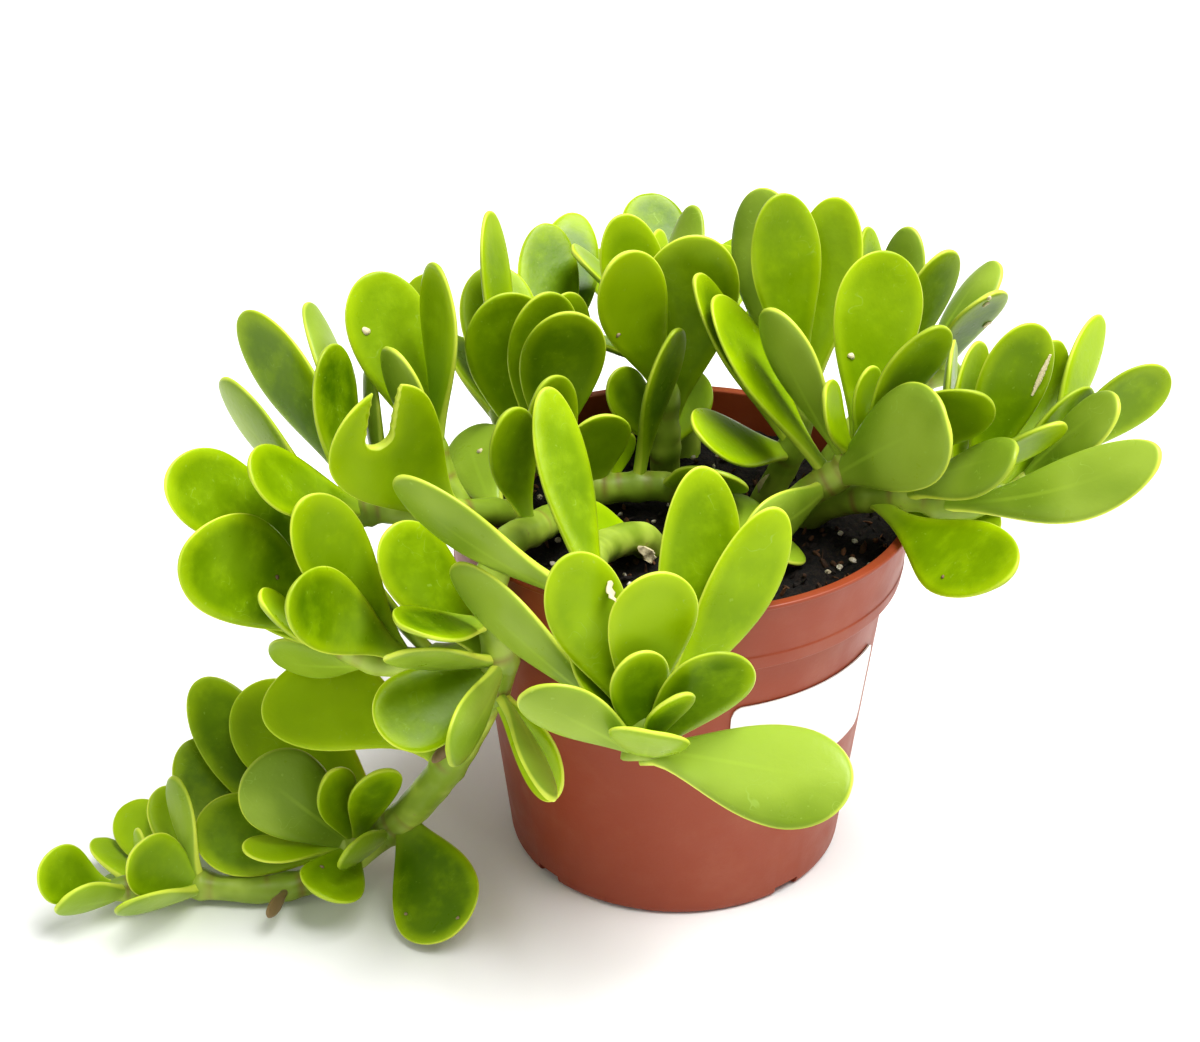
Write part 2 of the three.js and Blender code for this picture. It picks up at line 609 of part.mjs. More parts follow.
function halfThickness({ width }, share) {
  const full = HALF_THICKNESS * Math.min(1, (1 + width / FULL_THICKNESS_WIDTH) / 2);
  return full * (1 - TIP_THINNING * share * share);
}

function midrib({ foot, along, face, side, length, bow, sweep }, share) {
  const arch = 4 * share * (1 - share);
  return foot.clone().addScaledVector(along, length * share)
    .addScaledVector(face, bow * arch).addScaledVector(side, sweep * arch);
}

function leafSolid(leaf) {
  const rings = STATIONS.map((share) => {
    const middle = midrib(leaf, share);
    const across = halfWidth(leaf, share);
    const thick = halfThickness(leaf, share);
    return [
      middle.clone().addScaledVector(leaf.side, across),
      middle.clone().addScaledVector(leaf.face, -thick),
      middle.clone().addScaledVector(leaf.side, -across),
      middle.clone().addScaledVector(leaf.face, thick),
    ];
  });
  return solid(skin(leaf.foot, rings, midrib(leaf, 1)));
}

// The points of a blade that are kept clear of other blades
function bladeSpots(leaf) {
  return SPOT_SHARES.flatMap((share) => SPOT_SIDES.map((part) => {
    const point = midrib(leaf, share).addScaledVector(leaf.side, part * halfWidth(leaf, share));
    return { point, lever: share, thick: HALF_THICKNESS };
  }));
}

function stemSpots(stem) {
  const count = Math.round(stem.curve.getLength() / SPOT_SPACING);
  return Array.from({ length: count + 1 }, (_, i) => {
    const share = i / count;
    return { point: stem.curve.getPoint(share), lever: 0, thick: stemRadius(stem, share) };
  });
}

// Where the spots lie deepest in a blade, on the side of it that most of them are on
function contact(blade, spots, least, clear) {
  const offset = new THREE.Vector3();
  const inside = [];
  let sum = 0;
  for (const { point, lever, thick } of spots) {
    const share = offset.copy(point).sub(blade.foot).dot(blade.along) / blade.length;
    if (share < least || share > 1 + PRESS.past) continue;
    offset.copy(point).sub(midrib(blade, share));
    if (Math.abs(offset.dot(blade.side)) > halfWidth(blade, share) + PRESS.margin) continue;
    const height = offset.dot(blade.face);
    if (Math.abs(height) > PRESS.reach) continue;
    sum += height;
    inside.push({ share, height, lever, thick });
  }
  const sign = sum < 0 ? -1 : 1;
  let worst = { depth: 0 };
  for (const spot of inside) {
    const depth = spot.thick + HALF_THICKNESS + clear - sign * spot.height;
    if (depth > worst.depth) worst = { ...spot, depth, sign };
  }
  return worst;
}

// How far a spot of a leaf has to move to clear the surface below, the soil and the pot
function potPush(point, outside) {
  const move = new THREE.Vector3();
  const radius = Math.hypot(point.x, point.y);
  const up = POT_HEIGHT + RIM_CLEAR - point.z;
  if (point.z < FLOOR_CLEAR) move.z = FLOOR_CLEAR - point.z;
  if (radius > RIM_RADIUS + RIM_CLEAR || up < 0) return move;
  if (!outside) {
    const inWell = radius < RIM_RADIUS - WALL - 2 * RIM_CLEAR;
    move.z = inWell ? Math.max(0, up - POT_HEIGHT + SOIL_Z) : up;
    return move;
  }
  const wall = point.z > BAND_FOOT_Z - RIM_CLEAR ? RIM_RADIUS : wallRadius(point.z);
  const out = Math.max(0, wall + RIM_CLEAR - radius);
  if (up < out) return move.set(0, 0, up);
  return move.set(point.x, point.y, 0).multiplyScalar(out / radius);
}

// Press leaves that would cross to the two sides of each other, bit by bit, about their feet
function pressApart(leaves, stems) {
  const stemRows = stems.map(stemSpots);
  const home = leaves.map((leaf) => leaf.along.clone().multiplyScalar(leaf.length));
  const outside = leaves.map(({ foot }) => Math.hypot(foot.x, foot.y) > RIM_RADIUS && foot.z < POT_HEIGHT);
  const clearance = (blade, shoot) => (blade.shoot === shoot ? PRESS.clearWithin : PRESS.clearBetween);
  for (let pass = 0; pass < PRESS.passes; pass += 1) {
    const spots = leaves.map(bladeSpots);
    const middles = leaves.map((leaf) => midrib(leaf, 0.5));
    const moves = leaves.map(() => new THREE.Vector3());
    leaves.forEach((blade, j) => {
      leaves.forEach((other, i) => {
        const far = (other.length + blade.length) / 2 + PRESS.reach;
        if (i === j || middles[i].distanceTo(middles[j]) > far) return;
        const close = other.foot.distanceTo(blade.foot) < PRESS.footReach;
        const least = close ? PRESS.footShare : PRESS.leastShare;
        const { depth, sign, share, lever } = contact(blade, spots[i], least, clearance(blade, other.shoot));
        if (depth === 0) return;
        const push = sign * PRESS.step * Math.min(depth, PRESS.most) / (share * share + lever * lever);
        moves[i].addScaledVector(blade.face, push * lever);
        moves[j].addScaledVector(blade.face, -push * share);
      });
      stems.forEach((stem, k) => {
        const least = stem === blade.stem ? PRESS.footShare : PRESS.leastShare;
        const { depth, sign, share } = contact(blade, stemRows[k], least, clearance(blade, stem.shoot));
        if (depth === 0) return;
        moves[j].addScaledVector(blade.face, -sign * PRESS.step * Math.min(depth, PRESS.most) / share);
      });
      for (const { point, lever } of spots[j]) {
        moves[j].addScaledVector(potPush(point, outside[j]), PRESS.step / lever / SPOT_SIDES.length);
      }
    });
    leaves.forEach((leaf, i) => {
      const sight = middles[i].clone().sub(VIEW_POINT).normalize();
      const back = home[i].clone().addScaledVector(leaf.along, -leaf.length);
      const pushDeep = moves[i].dot(sight) * (1 - PRESS.across);
      const holdLess = back.dot(sight) * (PRESS.hold - PRESS.holdDeep);
      const deep = pushDeep - holdLess;
      const move = moves[i].multiplyScalar(PRESS.across).addScaledVector(back, PRESS.hold);
      leaf.along.multiplyScalar(leaf.length).add(move).addScaledVector(sight, deep).normalize();
      leaf.face.addScaledVector(leaf.along, -leaf.face.dot(leaf.along)).normalize();
      leaf.side.copy(leaf.along).cross(leaf.face);
    });
  }
}

// The bite out of one leaf: a row of round holes that opens through the rim beside its tip
function biteBlock(leaf) {
  const lie = new THREE.Matrix4().makeBasis(leaf.side, leaf.face, leaf.along.clone().negate());
  const blocks = Array.from({ length: BITE.holes }, (_, i) => {
    const part = i / (BITE.holes - 1);
    const share = lerp(BITE.from[0], BITE.to[0], part);
    const across = lerp(BITE.from[1], BITE.to[1], part);
    const block = new THREE.CylinderGeometry(BITE.radius, BITE.radius, BITE.depth, BITE.sides);
    const middle = midrib(leaf, share).addScaledVector(leaf.side, across);
    return solid(block.applyMatrix4(lie.clone().setPosition(middle)));
  });
  return wasm.Manifold.union(blocks);
}

function makePlant() {
  const stems = [];
  const leaves = [];
  for (const [shoot, parts] of Object.entries(TREE)) {
    for (const part of parts) {
      const stem = makeStem(shoot, part);
      stems.push(stem);
      leaves.push(...part.leaves.map((row) => makeLeaf(shoot, stem, row)));
    }
  }
  pressApart(leaves, stems);
  const nodes = Object.keys(TREE).map((shoot) => {
    const rods = stems.filter((stem) => stem.shoot === shoot).map((stem) => stemSolid(stem));
    const blades = leaves.filter((leaf) => leaf.shoot === shoot).map((leaf) => (
      leaf.bitten ? leafSolid(leaf).subtract(biteBlock(leaf)) : leafSolid(leaf)));
    return meshOf(shoot, wasm.Manifold.union([...rods, ...blades]), MATERIALS.leaf);
  });
  return { nodes, stems };
}

const object = new THREE.Group();
const plant = makePlant();
object.add(meshOf('pot', makePot(), MATERIALS.pot));
object.add(meshOf('soil', makeSoil(plant.stems), MATERIALS.soil));
object.add(meshOf('label', makeLabel(), MATERIALS.label));
object.add(...plant.nodes);

export default object;
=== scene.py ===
"""Potted trailing jade: the fine surfaces, materials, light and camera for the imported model.

Sizes in the tables are in millimetres and angles in degrees. Meshes are made in metres.
"""
import math

import bmesh
import bpy
import numpy as np
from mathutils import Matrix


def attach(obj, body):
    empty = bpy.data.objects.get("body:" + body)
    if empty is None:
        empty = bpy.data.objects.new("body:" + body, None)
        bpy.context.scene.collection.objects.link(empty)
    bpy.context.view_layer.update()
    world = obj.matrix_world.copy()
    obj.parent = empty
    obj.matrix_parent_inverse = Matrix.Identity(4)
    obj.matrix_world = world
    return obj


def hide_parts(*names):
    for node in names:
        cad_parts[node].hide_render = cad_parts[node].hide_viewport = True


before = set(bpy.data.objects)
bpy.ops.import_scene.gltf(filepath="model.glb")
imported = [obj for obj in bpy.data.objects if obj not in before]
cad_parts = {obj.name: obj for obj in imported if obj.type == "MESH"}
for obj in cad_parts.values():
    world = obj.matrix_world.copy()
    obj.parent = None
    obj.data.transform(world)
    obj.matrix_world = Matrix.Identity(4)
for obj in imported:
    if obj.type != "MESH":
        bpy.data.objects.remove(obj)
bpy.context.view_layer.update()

MM = 0.001

# Pot
POT_HEIGHT = 130
RIM_RADIUS = 78
LIP_HEIGHT = 1.6
LIP_OVERHANG = 1.2
BAND_FOOT_Z = 105
BAND_FOOT_RADIUS = 73.6
BAND_STEP_Z = 110
WALL_TOP_RADIUS = 69.2
BASE_RADIUS = 56.6
BASE_CORNER = 3
WALL = 2.4
FLOOR_THICKNESS = 5
POT_SIDES = 192
NOTCH = {"count": 4, "first_angle": 40, "width": 10, "height": 3.6, "depth": 7}
RECESS = {"count": 4, "first_angle": 70, "width": 15, "height": 1.2, "depth": 5}

# Soil
SOIL_Z = 117
SOIL_DEPTH = 8
SOIL_EDGE_RADIUS = 72
SOIL_SEED = 4
SOIL_RINGS = 60
SOIL_ROUND = 160
BARK_BITS = 620
BARK_SIZES = ([2, 0.8, 0.6], [6.5, 2.6, 1.6])
PERLITE_BITS = 90
PERLITE_SIZES = ([1.2, 1.2, 1], [3.2, 3, 2.6])
CHIP_RINGS = 4

# Label
LABEL = {"from": 283, "to": 338, "bottom": 56, "top": 88, "gap": 0.3, "thickness": 0.5, "corner": 4}
LABEL_COLUMNS = 72
LABEL_ROWS = 24

# Leaves
FOOT_WIDTH = 0.18
WIDEST = 0.7
HALF_THICKNESS = 2.3
FULL_THICKNESS_WIDTH = 18
TIP_THINNING = 0.5
TAPER = {"at_2": 1.6, "per_ratio": 0.8, "least": 1.4, "most": 2.8}
SLACK = 0.03
LEAF_STATIONS = 30
LEAF_ROUND = 20
LEAF_SEED = 7
BITE = {"radius": 4.8, "from": (0.74, -0.2), "to": (0.97, 7.8), "holes": 6, "depth": 20, "sides": 32}
DRY_WIDTH = 5
FOOT_FLARE = 1.6
FLARE_RUN = 3
EDGE_ROUNDING = 1.6
SQUARENESS = 2.6
UPPER_FULLNESS = 0.8
UNDER_FULLNESS = 1.05
CUP = (0.02, 0.14)
WAVE = 0.035
YOUNG_LENGTH = 46

# Stems
STEM_ROUND = 20
STEM_STEP = 1.6
STEM_FINENESS = 0.96
NODE_SWELL = 0.35
RIDGE_HEIGHT = 0.8
RIDGE_RUN = 7
SCAR_BELOW = 3.5
STEM_WAVES = [(13.0, 0.12), (5.0, 0.04)]
WAVE_TURN = 6.28

# Marks and dry bits. Each has its pixels in the picture. A spot has its radius in millimetres and how
# dark it is, and a flake has its width.
MARK_SEED = 11
MARK_ROUND = 16
MARK_PROFILE = [(1.0, -0.3), (0.92, 0.12), (0.7, 0.26), (0.42, 0.16), (0.2, 0.1)]
SPOTS = [
    ((366, 331), 1.3, 0.1), ((480, 451), 0.9, 0.4), ((851, 356), 1.1, 0.3), ((943, 577), 0.6, 0.9),
    ((277, 577), 0.7, 0.9), ((406, 914), 0.6, 0.8), ((458, 918), 0.6, 0.8), ((322, 867), 0.7, 0.8),
    ((618, 335), 0.8, 0.7), ((986, 304), 1.2, 0.4), ((989, 298), 0.9, 0.3), ((987, 324), 1.5, 0.2),
]
SLIT = {"from_to": [(1050, 355), (1032, 395)], "radius": 0.9, "count": 26}
FLAKES = [
    ((640, 540), (664, 534), 4.5), ((644, 556), (662, 548), 4), ((636, 546), (652, 560), 3),
    ((612, 578), (618, 600), 2.4), ((745, 500), (758, 472), 2), ((752, 470), (774, 456), 1.6),
    ((760, 492), (770, 474), 1.4),
]
FLAKE_STEPS = 10
FLAKE_ROUND = 8
FLAKE_LIFT = 1.2
FLAKE_HALF_THICKNESS = 0.22
FLAKE_REACH = 22

# Turns of the leaves are counted from a blade that shows its upper face to the front, tilted up
FRONT_RISE = 29

# The picture that the leaf tips are seen in: where it is seen from, in millimetres, how far down the
# view looks, and the middle and the distance of the picture, in its pixels
VIEW_POINT = np.array([-26.0, -746.0, 537.0])
VIEW_PITCH = 29.3
PICTURE_MIDDLE = (600, 521)
PICTURE_DISTANCE = 2600

# How leaves that would cross are pressed apart. They give way more in depth, as seen from the view
# point, than across the view.
PRESS = {
    "passes": 140, "step": 0.5, "most": 3, "across": 0.3, "hold": 0.03, "hold_deep": 0.004,
    "clear_between": 1, "clear_within": -0.6, "reach": 11, "margin": 1.5, "past": 0.03,
    "least_share": 0.12, "foot_share": 0.35, "foot_reach": 14,
}
SPOT_SHARES = [0.2, 0.35, 0.5, 0.65, 0.8, 0.9, 1]
SPOT_SIDES = [-1, -0.5, 0, 0.5, 1]
SPOT_SPACING = 6
FLOOR_CLEAR = 2.4
RIM_CLEAR = 3.2

# Camera, in degrees and millimetres
CAMERA_PITCH = 60.7
CAMERA_LENS = 78
CAMERA_SENSOR = 36

# Floor and light, in metres
FLOOR_HALF_WIDTH = 30
FLOOR_SHADE = 0.94
LIGHT_AIM = (0, 0, 0.12)
KEY_STRENGTH = 2.9
KEY_SPREAD = 40
GLINT_POWER = 3.5
FILL_POWER = 2
WORLD_STRENGTH = 0.4


# Each shoot has the points of its stem, as x, y, z and radius, and its leaves. A leaf has the place on
# the stem where it grows, from 0 to 1, the pixel of the picture where its tip is seen, its length and
# width, and its turn. Its tip is nearer than its foot, or further off where it leans far. Sweep and bow
# move its middle to its side and its upper face, and taper says how narrow its stalk is. A turn of SKY
# lays the blade with its upper face to the sky.
SKY = None
GOLDEN_ANGLE = 137.5


def spiral(start, end, count, compass, rise, length, width):
    """Leaves that follow each other up a stem, each a golden angle further round it. Towards the tip
    they stand up more and are smaller, and a wave makes neighbours differ."""
    rows = []
    for i in range(count):
        part = i / (count - 1)
        wave = 3 * math.sin(i * 2.4)
        rows.append(dict(
            at=start + (end - start) * part, compass=compass + i * GOLDEN_ANGLE,
            rise=rise + 14 * part + 2 * wave, length=length - 8 * part + wave,
            width=width - 3 * part, turn=SKY,
        ))
    return rows


TRAILING = [
    {
        "points": [
            [-30, 6, 106, 5], [-36, -8, 125, 5], [-46, -32, 134, 5.5], [-55, -53, 139, 5.5],
            [-60, -62, 127, 5.5], [-57, -62, 103, 5.5], [-64, -55, 80, 5.5], [-74, -46, 55, 6],
            [-84, -39, 36, 6], [-94, -34, 21, 5.5], [-104, -36, 15, 5], [-113, -41, 16, 4],
        ],
        "leaves": [
            dict(at=0.1, tip=(548, 378), length=56, width=22, turn=40),
            dict(at=0.2, tip=(508, 412), length=50, width=20, turn=40),
            dict(at=0.4, tip=(406, 619), length=42, width=20, turn=65),
            dict(at=0.45, tip=(392, 728), length=46, width=27, turn=15),
            dict(at=0.45, tip=(388, 654), length=46, width=21, turn=110),
            dict(at=0.45, tip=(442, 764), length=44, width=20, turn=120),
            dict(at=0.5, tip=(545, 784), length=43, width=21, turn=45),
            dict(at=0.5, tip=(560, 808), length=56, width=12, turn=115),
            dict(at=0.55, tip=(432, 762), length=24, width=5, turn=140),
            dict(at=0.65, tip=(264, 698), length=64, width=33, turn=10, sweep=7, taper=2.6),
            dict(at=0.8, tip=(452, 938), length=50, width=32, turn=10, taper=1.3),
            dict(at=0.85, tip=(240, 690), length=68, width=34, turn=10, far=True),
            dict(at=0.85, tip=(331, 869), length=34, width=15, turn=120),
            dict(at=0.9, tip=(229, 742), length=62, width=14, turn=130, far=True),
            dict(at=0.95, tip=(383, 746), length=42, width=18, turn=35),
            dict(at=0.95, tip=(316, 750), length=38, width=17, turn=35),
            dict(at=0.95, tip=(236, 768), length=50, width=30, turn=180),
            dict(at=0.95, tip=(193, 834), length=54, width=28, turn=10),
            dict(at=0.95, tip=(322, 896), length=34, width=22, turn=10),
            dict(at=1, tip=(341, 794), length=18, width=8, turn=30, far=True),
            dict(at=1, tip=(242, 838), length=34, width=12, turn=50),
        ],
    },
    {
        "points": [
            [-58, -61, 103, 4], [-67, -55, 101, 4.5], [-80, -52, 97, 4.5], [-93, -50, 95, 4.5],
            [-104, -49, 98, 4], [-112, -47, 103, 3.5],
        ],
        "leaves": [
            dict(at=0.05, tip=(388, 528), length=53, width=26, turn=30),
            dict(at=0.5, tip=(302, 486), length=70, width=26, turn=30),
            dict(at=0.35, tip=(324, 554), length=49, width=20, turn=105),
            dict(at=0.5, tip=(262, 584), length=66, width=26, turn=25, sweep=3),
            dict(at=0.65, tip=(282, 545), length=48, width=24, turn=35, far=True),
            dict(at=0.7, tip=(234, 574), length=52, width=22, turn=40),
            dict(at=0.7, tip=(268, 656), length=36, width=22, turn=125, far=True),
            dict(at=0.85, tip=(232, 586), length=46, width=18, turn=65),
            dict(at=0.95, tip=(178, 546), length=66, width=34, turn=15, sweep=4),
        ],
    },
    {
        "points": [
            [-98, -35, 17, 4.5], [-116, -44, 8, 4.8], [-134, -50, 6, 4.8], [-150, -50, 6, 4.5],
            [-164, -49, 7, 4.2], [-178, -52, 8, 4], [-190, -55, 9, 3.5],
        ],
        "leaves": [
            dict(at=0.3, tip=(267, 916), length=22, width=5, turn=140),
            dict(at=0.2, tip=(200, 684), length=80, width=25, turn=15, far=True),
            dict(at=0.4, tip=(188, 742), length=58, width=24, turn=20, far=True),
            dict(at=0.6, tip=(108, 903), length=42, width=16, turn=120),
            dict(at=0.6, tip=(166, 776), length=42, width=14, turn=130),
            dict(at=0.6, tip=(136, 853), length=34, width=22, turn=15),
            dict(at=0.65, tip=(166, 790), length=36, width=18, turn=35, far=True),
            dict(at=0.7, tip=(121, 799), length=38, width=20, turn=20, far=True),
            dict(at=0.8, tip=(136, 824), length=20, width=7, turn=130, far=True),
            dict(at=0.85, tip=(90, 823), length=30, width=14, turn=60, far=True),
            dict(at=0.9, tip=(118, 862), length=20, width=12, turn=40, far=True),
            dict(at=0.95, tip=(47, 873), length=32, width=20, turn=15, taper=2.4),
            dict(at=0.9, tip=(48, 900), length=30, width=17, turn=130),
        ],
    },
]

LEFT = [
    {
        "points": [
            [-46, 2, 106, 4.5], [-52, -8, 124, 4.5], [-62, -22, 134, 4.5], [-75, -31, 138, 4.5],
            [-88, -32, 140, 4.5], [-100, -31, 139, 4.2], [-110, -33, 132, 4], [-116, -37, 124, 3.5],
        ],
        "leaves": [
            dict(at=0.25, tip=(468, 438), length=37, width=24, turn=165, far=True),
            dict(at=0.4, tip=(364, 398), length=60, width=38, turn=5, sweep=-4, bitten=True),
            dict(at=0.6, tip=(354, 370), length=50, width=18, turn=110, far=True),
            dict(at=0.7, tip=(256, 472), length=50, width=24, turn=40),
            dict(at=0.7, tip=(268, 300), length=76, width=27, turn=-48, far=True),
            dict(at=0.7, tip=(297, 296), length=74, width=22, turn=-110, far=True),
            dict(at=0.75, tip=(326, 339), length=56, width=24, turn=60),
            dict(at=0.8, tip=(228, 380), length=60, width=26, turn=115),
            dict(at=0.95, tip=(174, 478), length=58, width=29, turn=30, sweep=2),
        ],
    },
    {
        "points": [[-70, -26, 138, 4], [-76, -21, 148, 4], [-79, -16, 158, 3.5]],
        "leaves": [
            dict(at=0.5, tip=(387, 345), length=46, width=20, turn=120),
            dict(at=0.7, tip=(367, 276), length=62, width=28, turn=20, far=True),
            dict(at=0.8, tip=(419, 270), length=60, width=24, turn=-35, far=True),
            dict(at=0.85, tip=(434, 255), length=60, width=24, turn=-60, far=True),
        ],
    },
]

FRONT_DROOP = [
    {
        "points": [
            [-8, -14, 106, 5], [-12, -22, 124, 5.5], [-24, -40, 132, 5.5], [-29, -62, 139, 5.5],
            [-26, -82, 140, 5.5], [-21, -96, 126, 5], [-16, -104, 112, 4.5], [-13, -107, 100, 4],
        ],
        "leaves": [
            dict(at=0.1, tip=(583, 512), length=30, width=14, turn=40),
            dict(at=0.6, tip=(398, 491), length=72, width=22, turn=125, sweep=3),
            dict(at=0.7, tip=(547, 388), length=84, width=19, turn=35, far=True),
            dict(at=0.9, tip=(704, 498), length=80, width=26, turn=20, far=True, sweep=6),
            dict(at=0.95, tip=(770, 524), length=80, width=24, turn=30, far=True, sweep=4),
            dict(at=0.9, tip=(460, 553), length=74, width=22, turn=130, far=True),
            dict(at=0.9, tip=(560, 562), length=60, width=25, turn=15),
            dict(at=1, tip=(628, 634), length=38, width=19, turn=20),
            dict(at=1, tip=(571, 653), length=40, width=13, turn=50),
            dict(at=0.9, tip=(664, 566), length=52, width=27, turn=20),
            dict(at=1, tip=(692, 656), length=36, width=14, turn=45),
            dict(at=1, tip=(656, 700), length=28, width=24, turn=180),
            dict(at=1, tip=(751, 642), length=46, width=26, turn=35),
            dict(at=1, tip=(508, 690), length=47, width=21, turn=140, sweep=-2),
            dict(at=1, tip=(852, 788), length=65, width=32, turn=155),
        ],
    },
]

RIGHT_ROSETTE = [
    {
        "points": [
            [20, -4, 106, 5], [30, -10, 124, 5], [42, -12, 136, 5], [52, -12, 143, 4.5],
            [57, -10, 150, 3.5],
        ],
        "leaves": [
            dict(at=0.2, tip=(797, 582), length=26, width=15, turn=135),
            dict(at=0.6, tip=(740, 547), length=46, width=22, turn=135),
            dict(at=0.65, tip=(712, 296), length=70, width=23, turn=50),
            dict(at=0.7, tip=(954, 408), length=58, width=33, turn=160),
            dict(at=0.85, tip=(786, 320), length=58, width=21, turn=125),
            dict(at=0.9, tip=(820, 384), length=40, width=16, turn=50),
            dict(at=0.8, tip=(994, 392), length=58, width=25, turn=40),
            dict(at=1, tip=(892, 258), length=64, width=30, turn=15),
            dict(at=1, tip=(943, 312), length=56, width=20, turn=40),
            dict(at=1, tip=(861, 366), length=30, width=12, turn=40),
        ],
    },
]

RIGHT = [
    {
        "points": [
            [34, 8, 106, 5], [46, -2, 124, 5], [60, -12, 134, 5], [74, -22, 139, 4.5],
            [87, -26, 138, 4.5], [101, -22, 140, 4.2], [114, -15, 144, 4], [126, -7, 148, 3.5],
        ],
        "leaves": [
            dict(at=0.3, tip=(1028, 602), length=80, width=28, turn=-5, sweep=3, taper=3.4),
            dict(at=0.4, tip=(1028, 456), length=52, width=22, turn=130),
            dict(at=0.25, tip=(984, 542), length=48, width=22, turn=-35, bow=3),
            dict(at=0.5, tip=(1162, 454), length=78, width=23, turn=155, sweep=-6),
            dict(at=0.5, tip=(1056, 424), length=50, width=18, turn=60),
            dict(at=0.6, tip=(1074, 338), length=66, width=26, turn=45, far=True),
            dict(at=0.6, tip=(1036, 332), length=62, width=24, turn=20),
            dict(at=0.55, tip=(957, 334), length=58, width=16, turn=75, far=True),
            dict(at=0.55, tip=(977, 347), length=54, width=18, turn=50, far=True),
            dict(at=0.7, tip=(1087, 391), length=46, width=20, turn=55, far=True),
            dict(at=0.8, tip=(1124, 382), length=46, width=20, turn=125),
            dict(at=0.9, tip=(1118, 302), length=58, width=18, turn=50, far=True),
            dict(at=0.9, tip=(1157, 369), length=48, width=24, turn=40, far=True),
        ],
    },
]

UPPER_RIGHT = [
    {
        "points": [
            [24, 18, 106, 5], [32, 15, 124, 5], [37, 11, 138, 4.5], [40, 10, 150, 4],
            [41, 11, 162, 3.5],
        ],
        "leaves": [
            dict(at=0.5, tip=(688, 438), length=46, width=24, turn=45),
            dict(at=0.55, tip=(701, 273), length=68, width=20, turn=55),
            dict(at=0.8, tip=(836, 197), length=73, width=26, turn=-35, far=True),
            dict(at=0.8, tip=(756, 189), length=78, width=28, turn=145, far=True),
            dict(at=0.9, tip=(776, 190), length=70, width=25, turn=20),
        ],
    },
]

BACK_RIGHT = [
    {
        "points": [
            [44, 26, 106, 5], [54, 32, 126, 5], [66, 37, 140, 4.5], [80, 40, 149, 4.5],
            [94, 42, 154, 4],
        ],
        "leaves": [
            dict(at=0.6, tip=(871, 222), length=60, width=18, turn=55, far=True),
            dict(at=0.6, tip=(908, 226), length=58, width=18, turn=140, far=True),
            dict(at=0.6, tip=(951, 243), length=58, width=20, turn=40),
            dict(at=0.8, tip=(996, 261), length=48, width=20, turn=120, far=True),
            dict(at=0.9, tip=(996, 293), length=48, width=20, turn=50),
        ],
    },
]

TOP = [
    {
        "points": [[-4, 26, 106, 5], [-4, 26, 126, 5], [-4, 24, 142, 4.5], [-4, 27, 156, 4]],
        "leaves": [
            dict(at=0.45, tip=(619, 380), length=34, width=18, turn=30),
            dict(at=0.45, tip=(706, 377), length=34, width=18, turn=35, far=True),
            dict(at=0.6, tip=(700, 233), length=70, width=33, turn=10),
            dict(at=0.85, tip=(618, 252), length=66, width=26, turn=20),
            dict(at=0.85, tip=(619, 208), length=64, width=23, turn=20, far=True),
            dict(at=0.95, tip=(688, 201), length=62, width=17, turn=135, far=True),
            dict(at=0.95, tip=(666, 224), length=58, width=14, turn=55, far=True),
        ],
    },
]

CENTRE = [
    {
        "points": [
            [14, 8, 106, 5], [8, 9, 121, 5], [-4, 9, 126, 5], [-16, 9, 126, 5], [-30, 9, 126, 5],
            [-44, 11, 134, 4.5], [-55, 14, 143, 4], [-60, 18, 151, 3.5],
        ],
        "leaves": [
            dict(at=0.2, tip=(750, 518), length=34, width=20, turn=140),
            dict(at=0.3, tip=(755, 480), length=40, width=22, turn=65),
            dict(at=0.4, tip=(678, 328), length=58, width=18, turn=60),
            dict(at=0.5, tip=(632, 431), length=20, width=7, turn=30, far=True),
            dict(at=0.55, tip=(600, 408), length=34, width=22, turn=20),
            dict(at=0.7, tip=(570, 300), length=64, width=28, turn=15),
            dict(at=0.7, tip=(574, 288), length=58, width=22, turn=40, far=True),
            dict(at=0.75, tip=(546, 294), length=62, width=25, turn=30),
            dict(at=0.8, tip=(500, 312), length=55, width=30, turn=15),
            dict(at=0.85, tip=(458, 336), length=50, width=20, turn=60, far=True),
            dict(at=0.85, tip=(493, 258), length=62, width=27, turn=15, far=True),
            dict(at=0.8, tip=(490, 216), length=79, width=18, turn=60, far=True),
        ],
    },
]

BACK_LEFT = [
    {
        "points": [[-34, 36, 106, 5], [-40, 42, 128, 5], [-46, 50, 144, 4.5], [-52, 56, 154, 4]],
        "leaves": [
            dict(at=0.5, tip=(552, 226), length=71, width=23, turn=20, far=True),
            dict(at=0.55, tip=(580, 198), length=84, width=23, turn=10, far=True),
        ],
    },
]

BACK = [
    {
        "points": [
            [4, 46, 106, 5], [4, 54, 126, 5], [4, 66, 138, 4.5], [2, 80, 143, 4.5], [0, 94, 146, 4],
            [2, 106, 150, 3.5],
        ],
        "leaves": spiral(start=0.5, end=1, count=11, compass=85, rise=24, length=54, width=27),
    },
]

TREE = {
    "trailing_stem": TRAILING,
    "left_stem": LEFT,
    "front_stem": FRONT_DROOP,
    "right_rosette": RIGHT_ROSETTE,
    "right_stem": RIGHT,
    "upper_right_stem": UPPER_RIGHT,
    "back_right_stem": BACK_RIGHT,
    "top_stem": TOP,
    "centre_stem": CENTRE,
    "back_left_stem": BACK_LEFT,
    "back_stem": BACK,
}



# Shapes of the shoots


def heading(compass, rise):
    """The direction of a compass heading (0 is +X, 90 is +Y) and a rise."""
    a, b = math.radians(compass), math.radians(rise)
    return np.array([math.cos(a) * math.cos(b), math.sin(a) * math.cos(b), math.sin(b)])


def unit(vector):
    return vector / np.linalg.norm(vector, axis=-1, keepdims=True)


def turned(vector, axis, degrees):
    a = math.radians(degrees)
    return vector * math.cos(a) + np.cross(axis, vector) * math.sin(a)


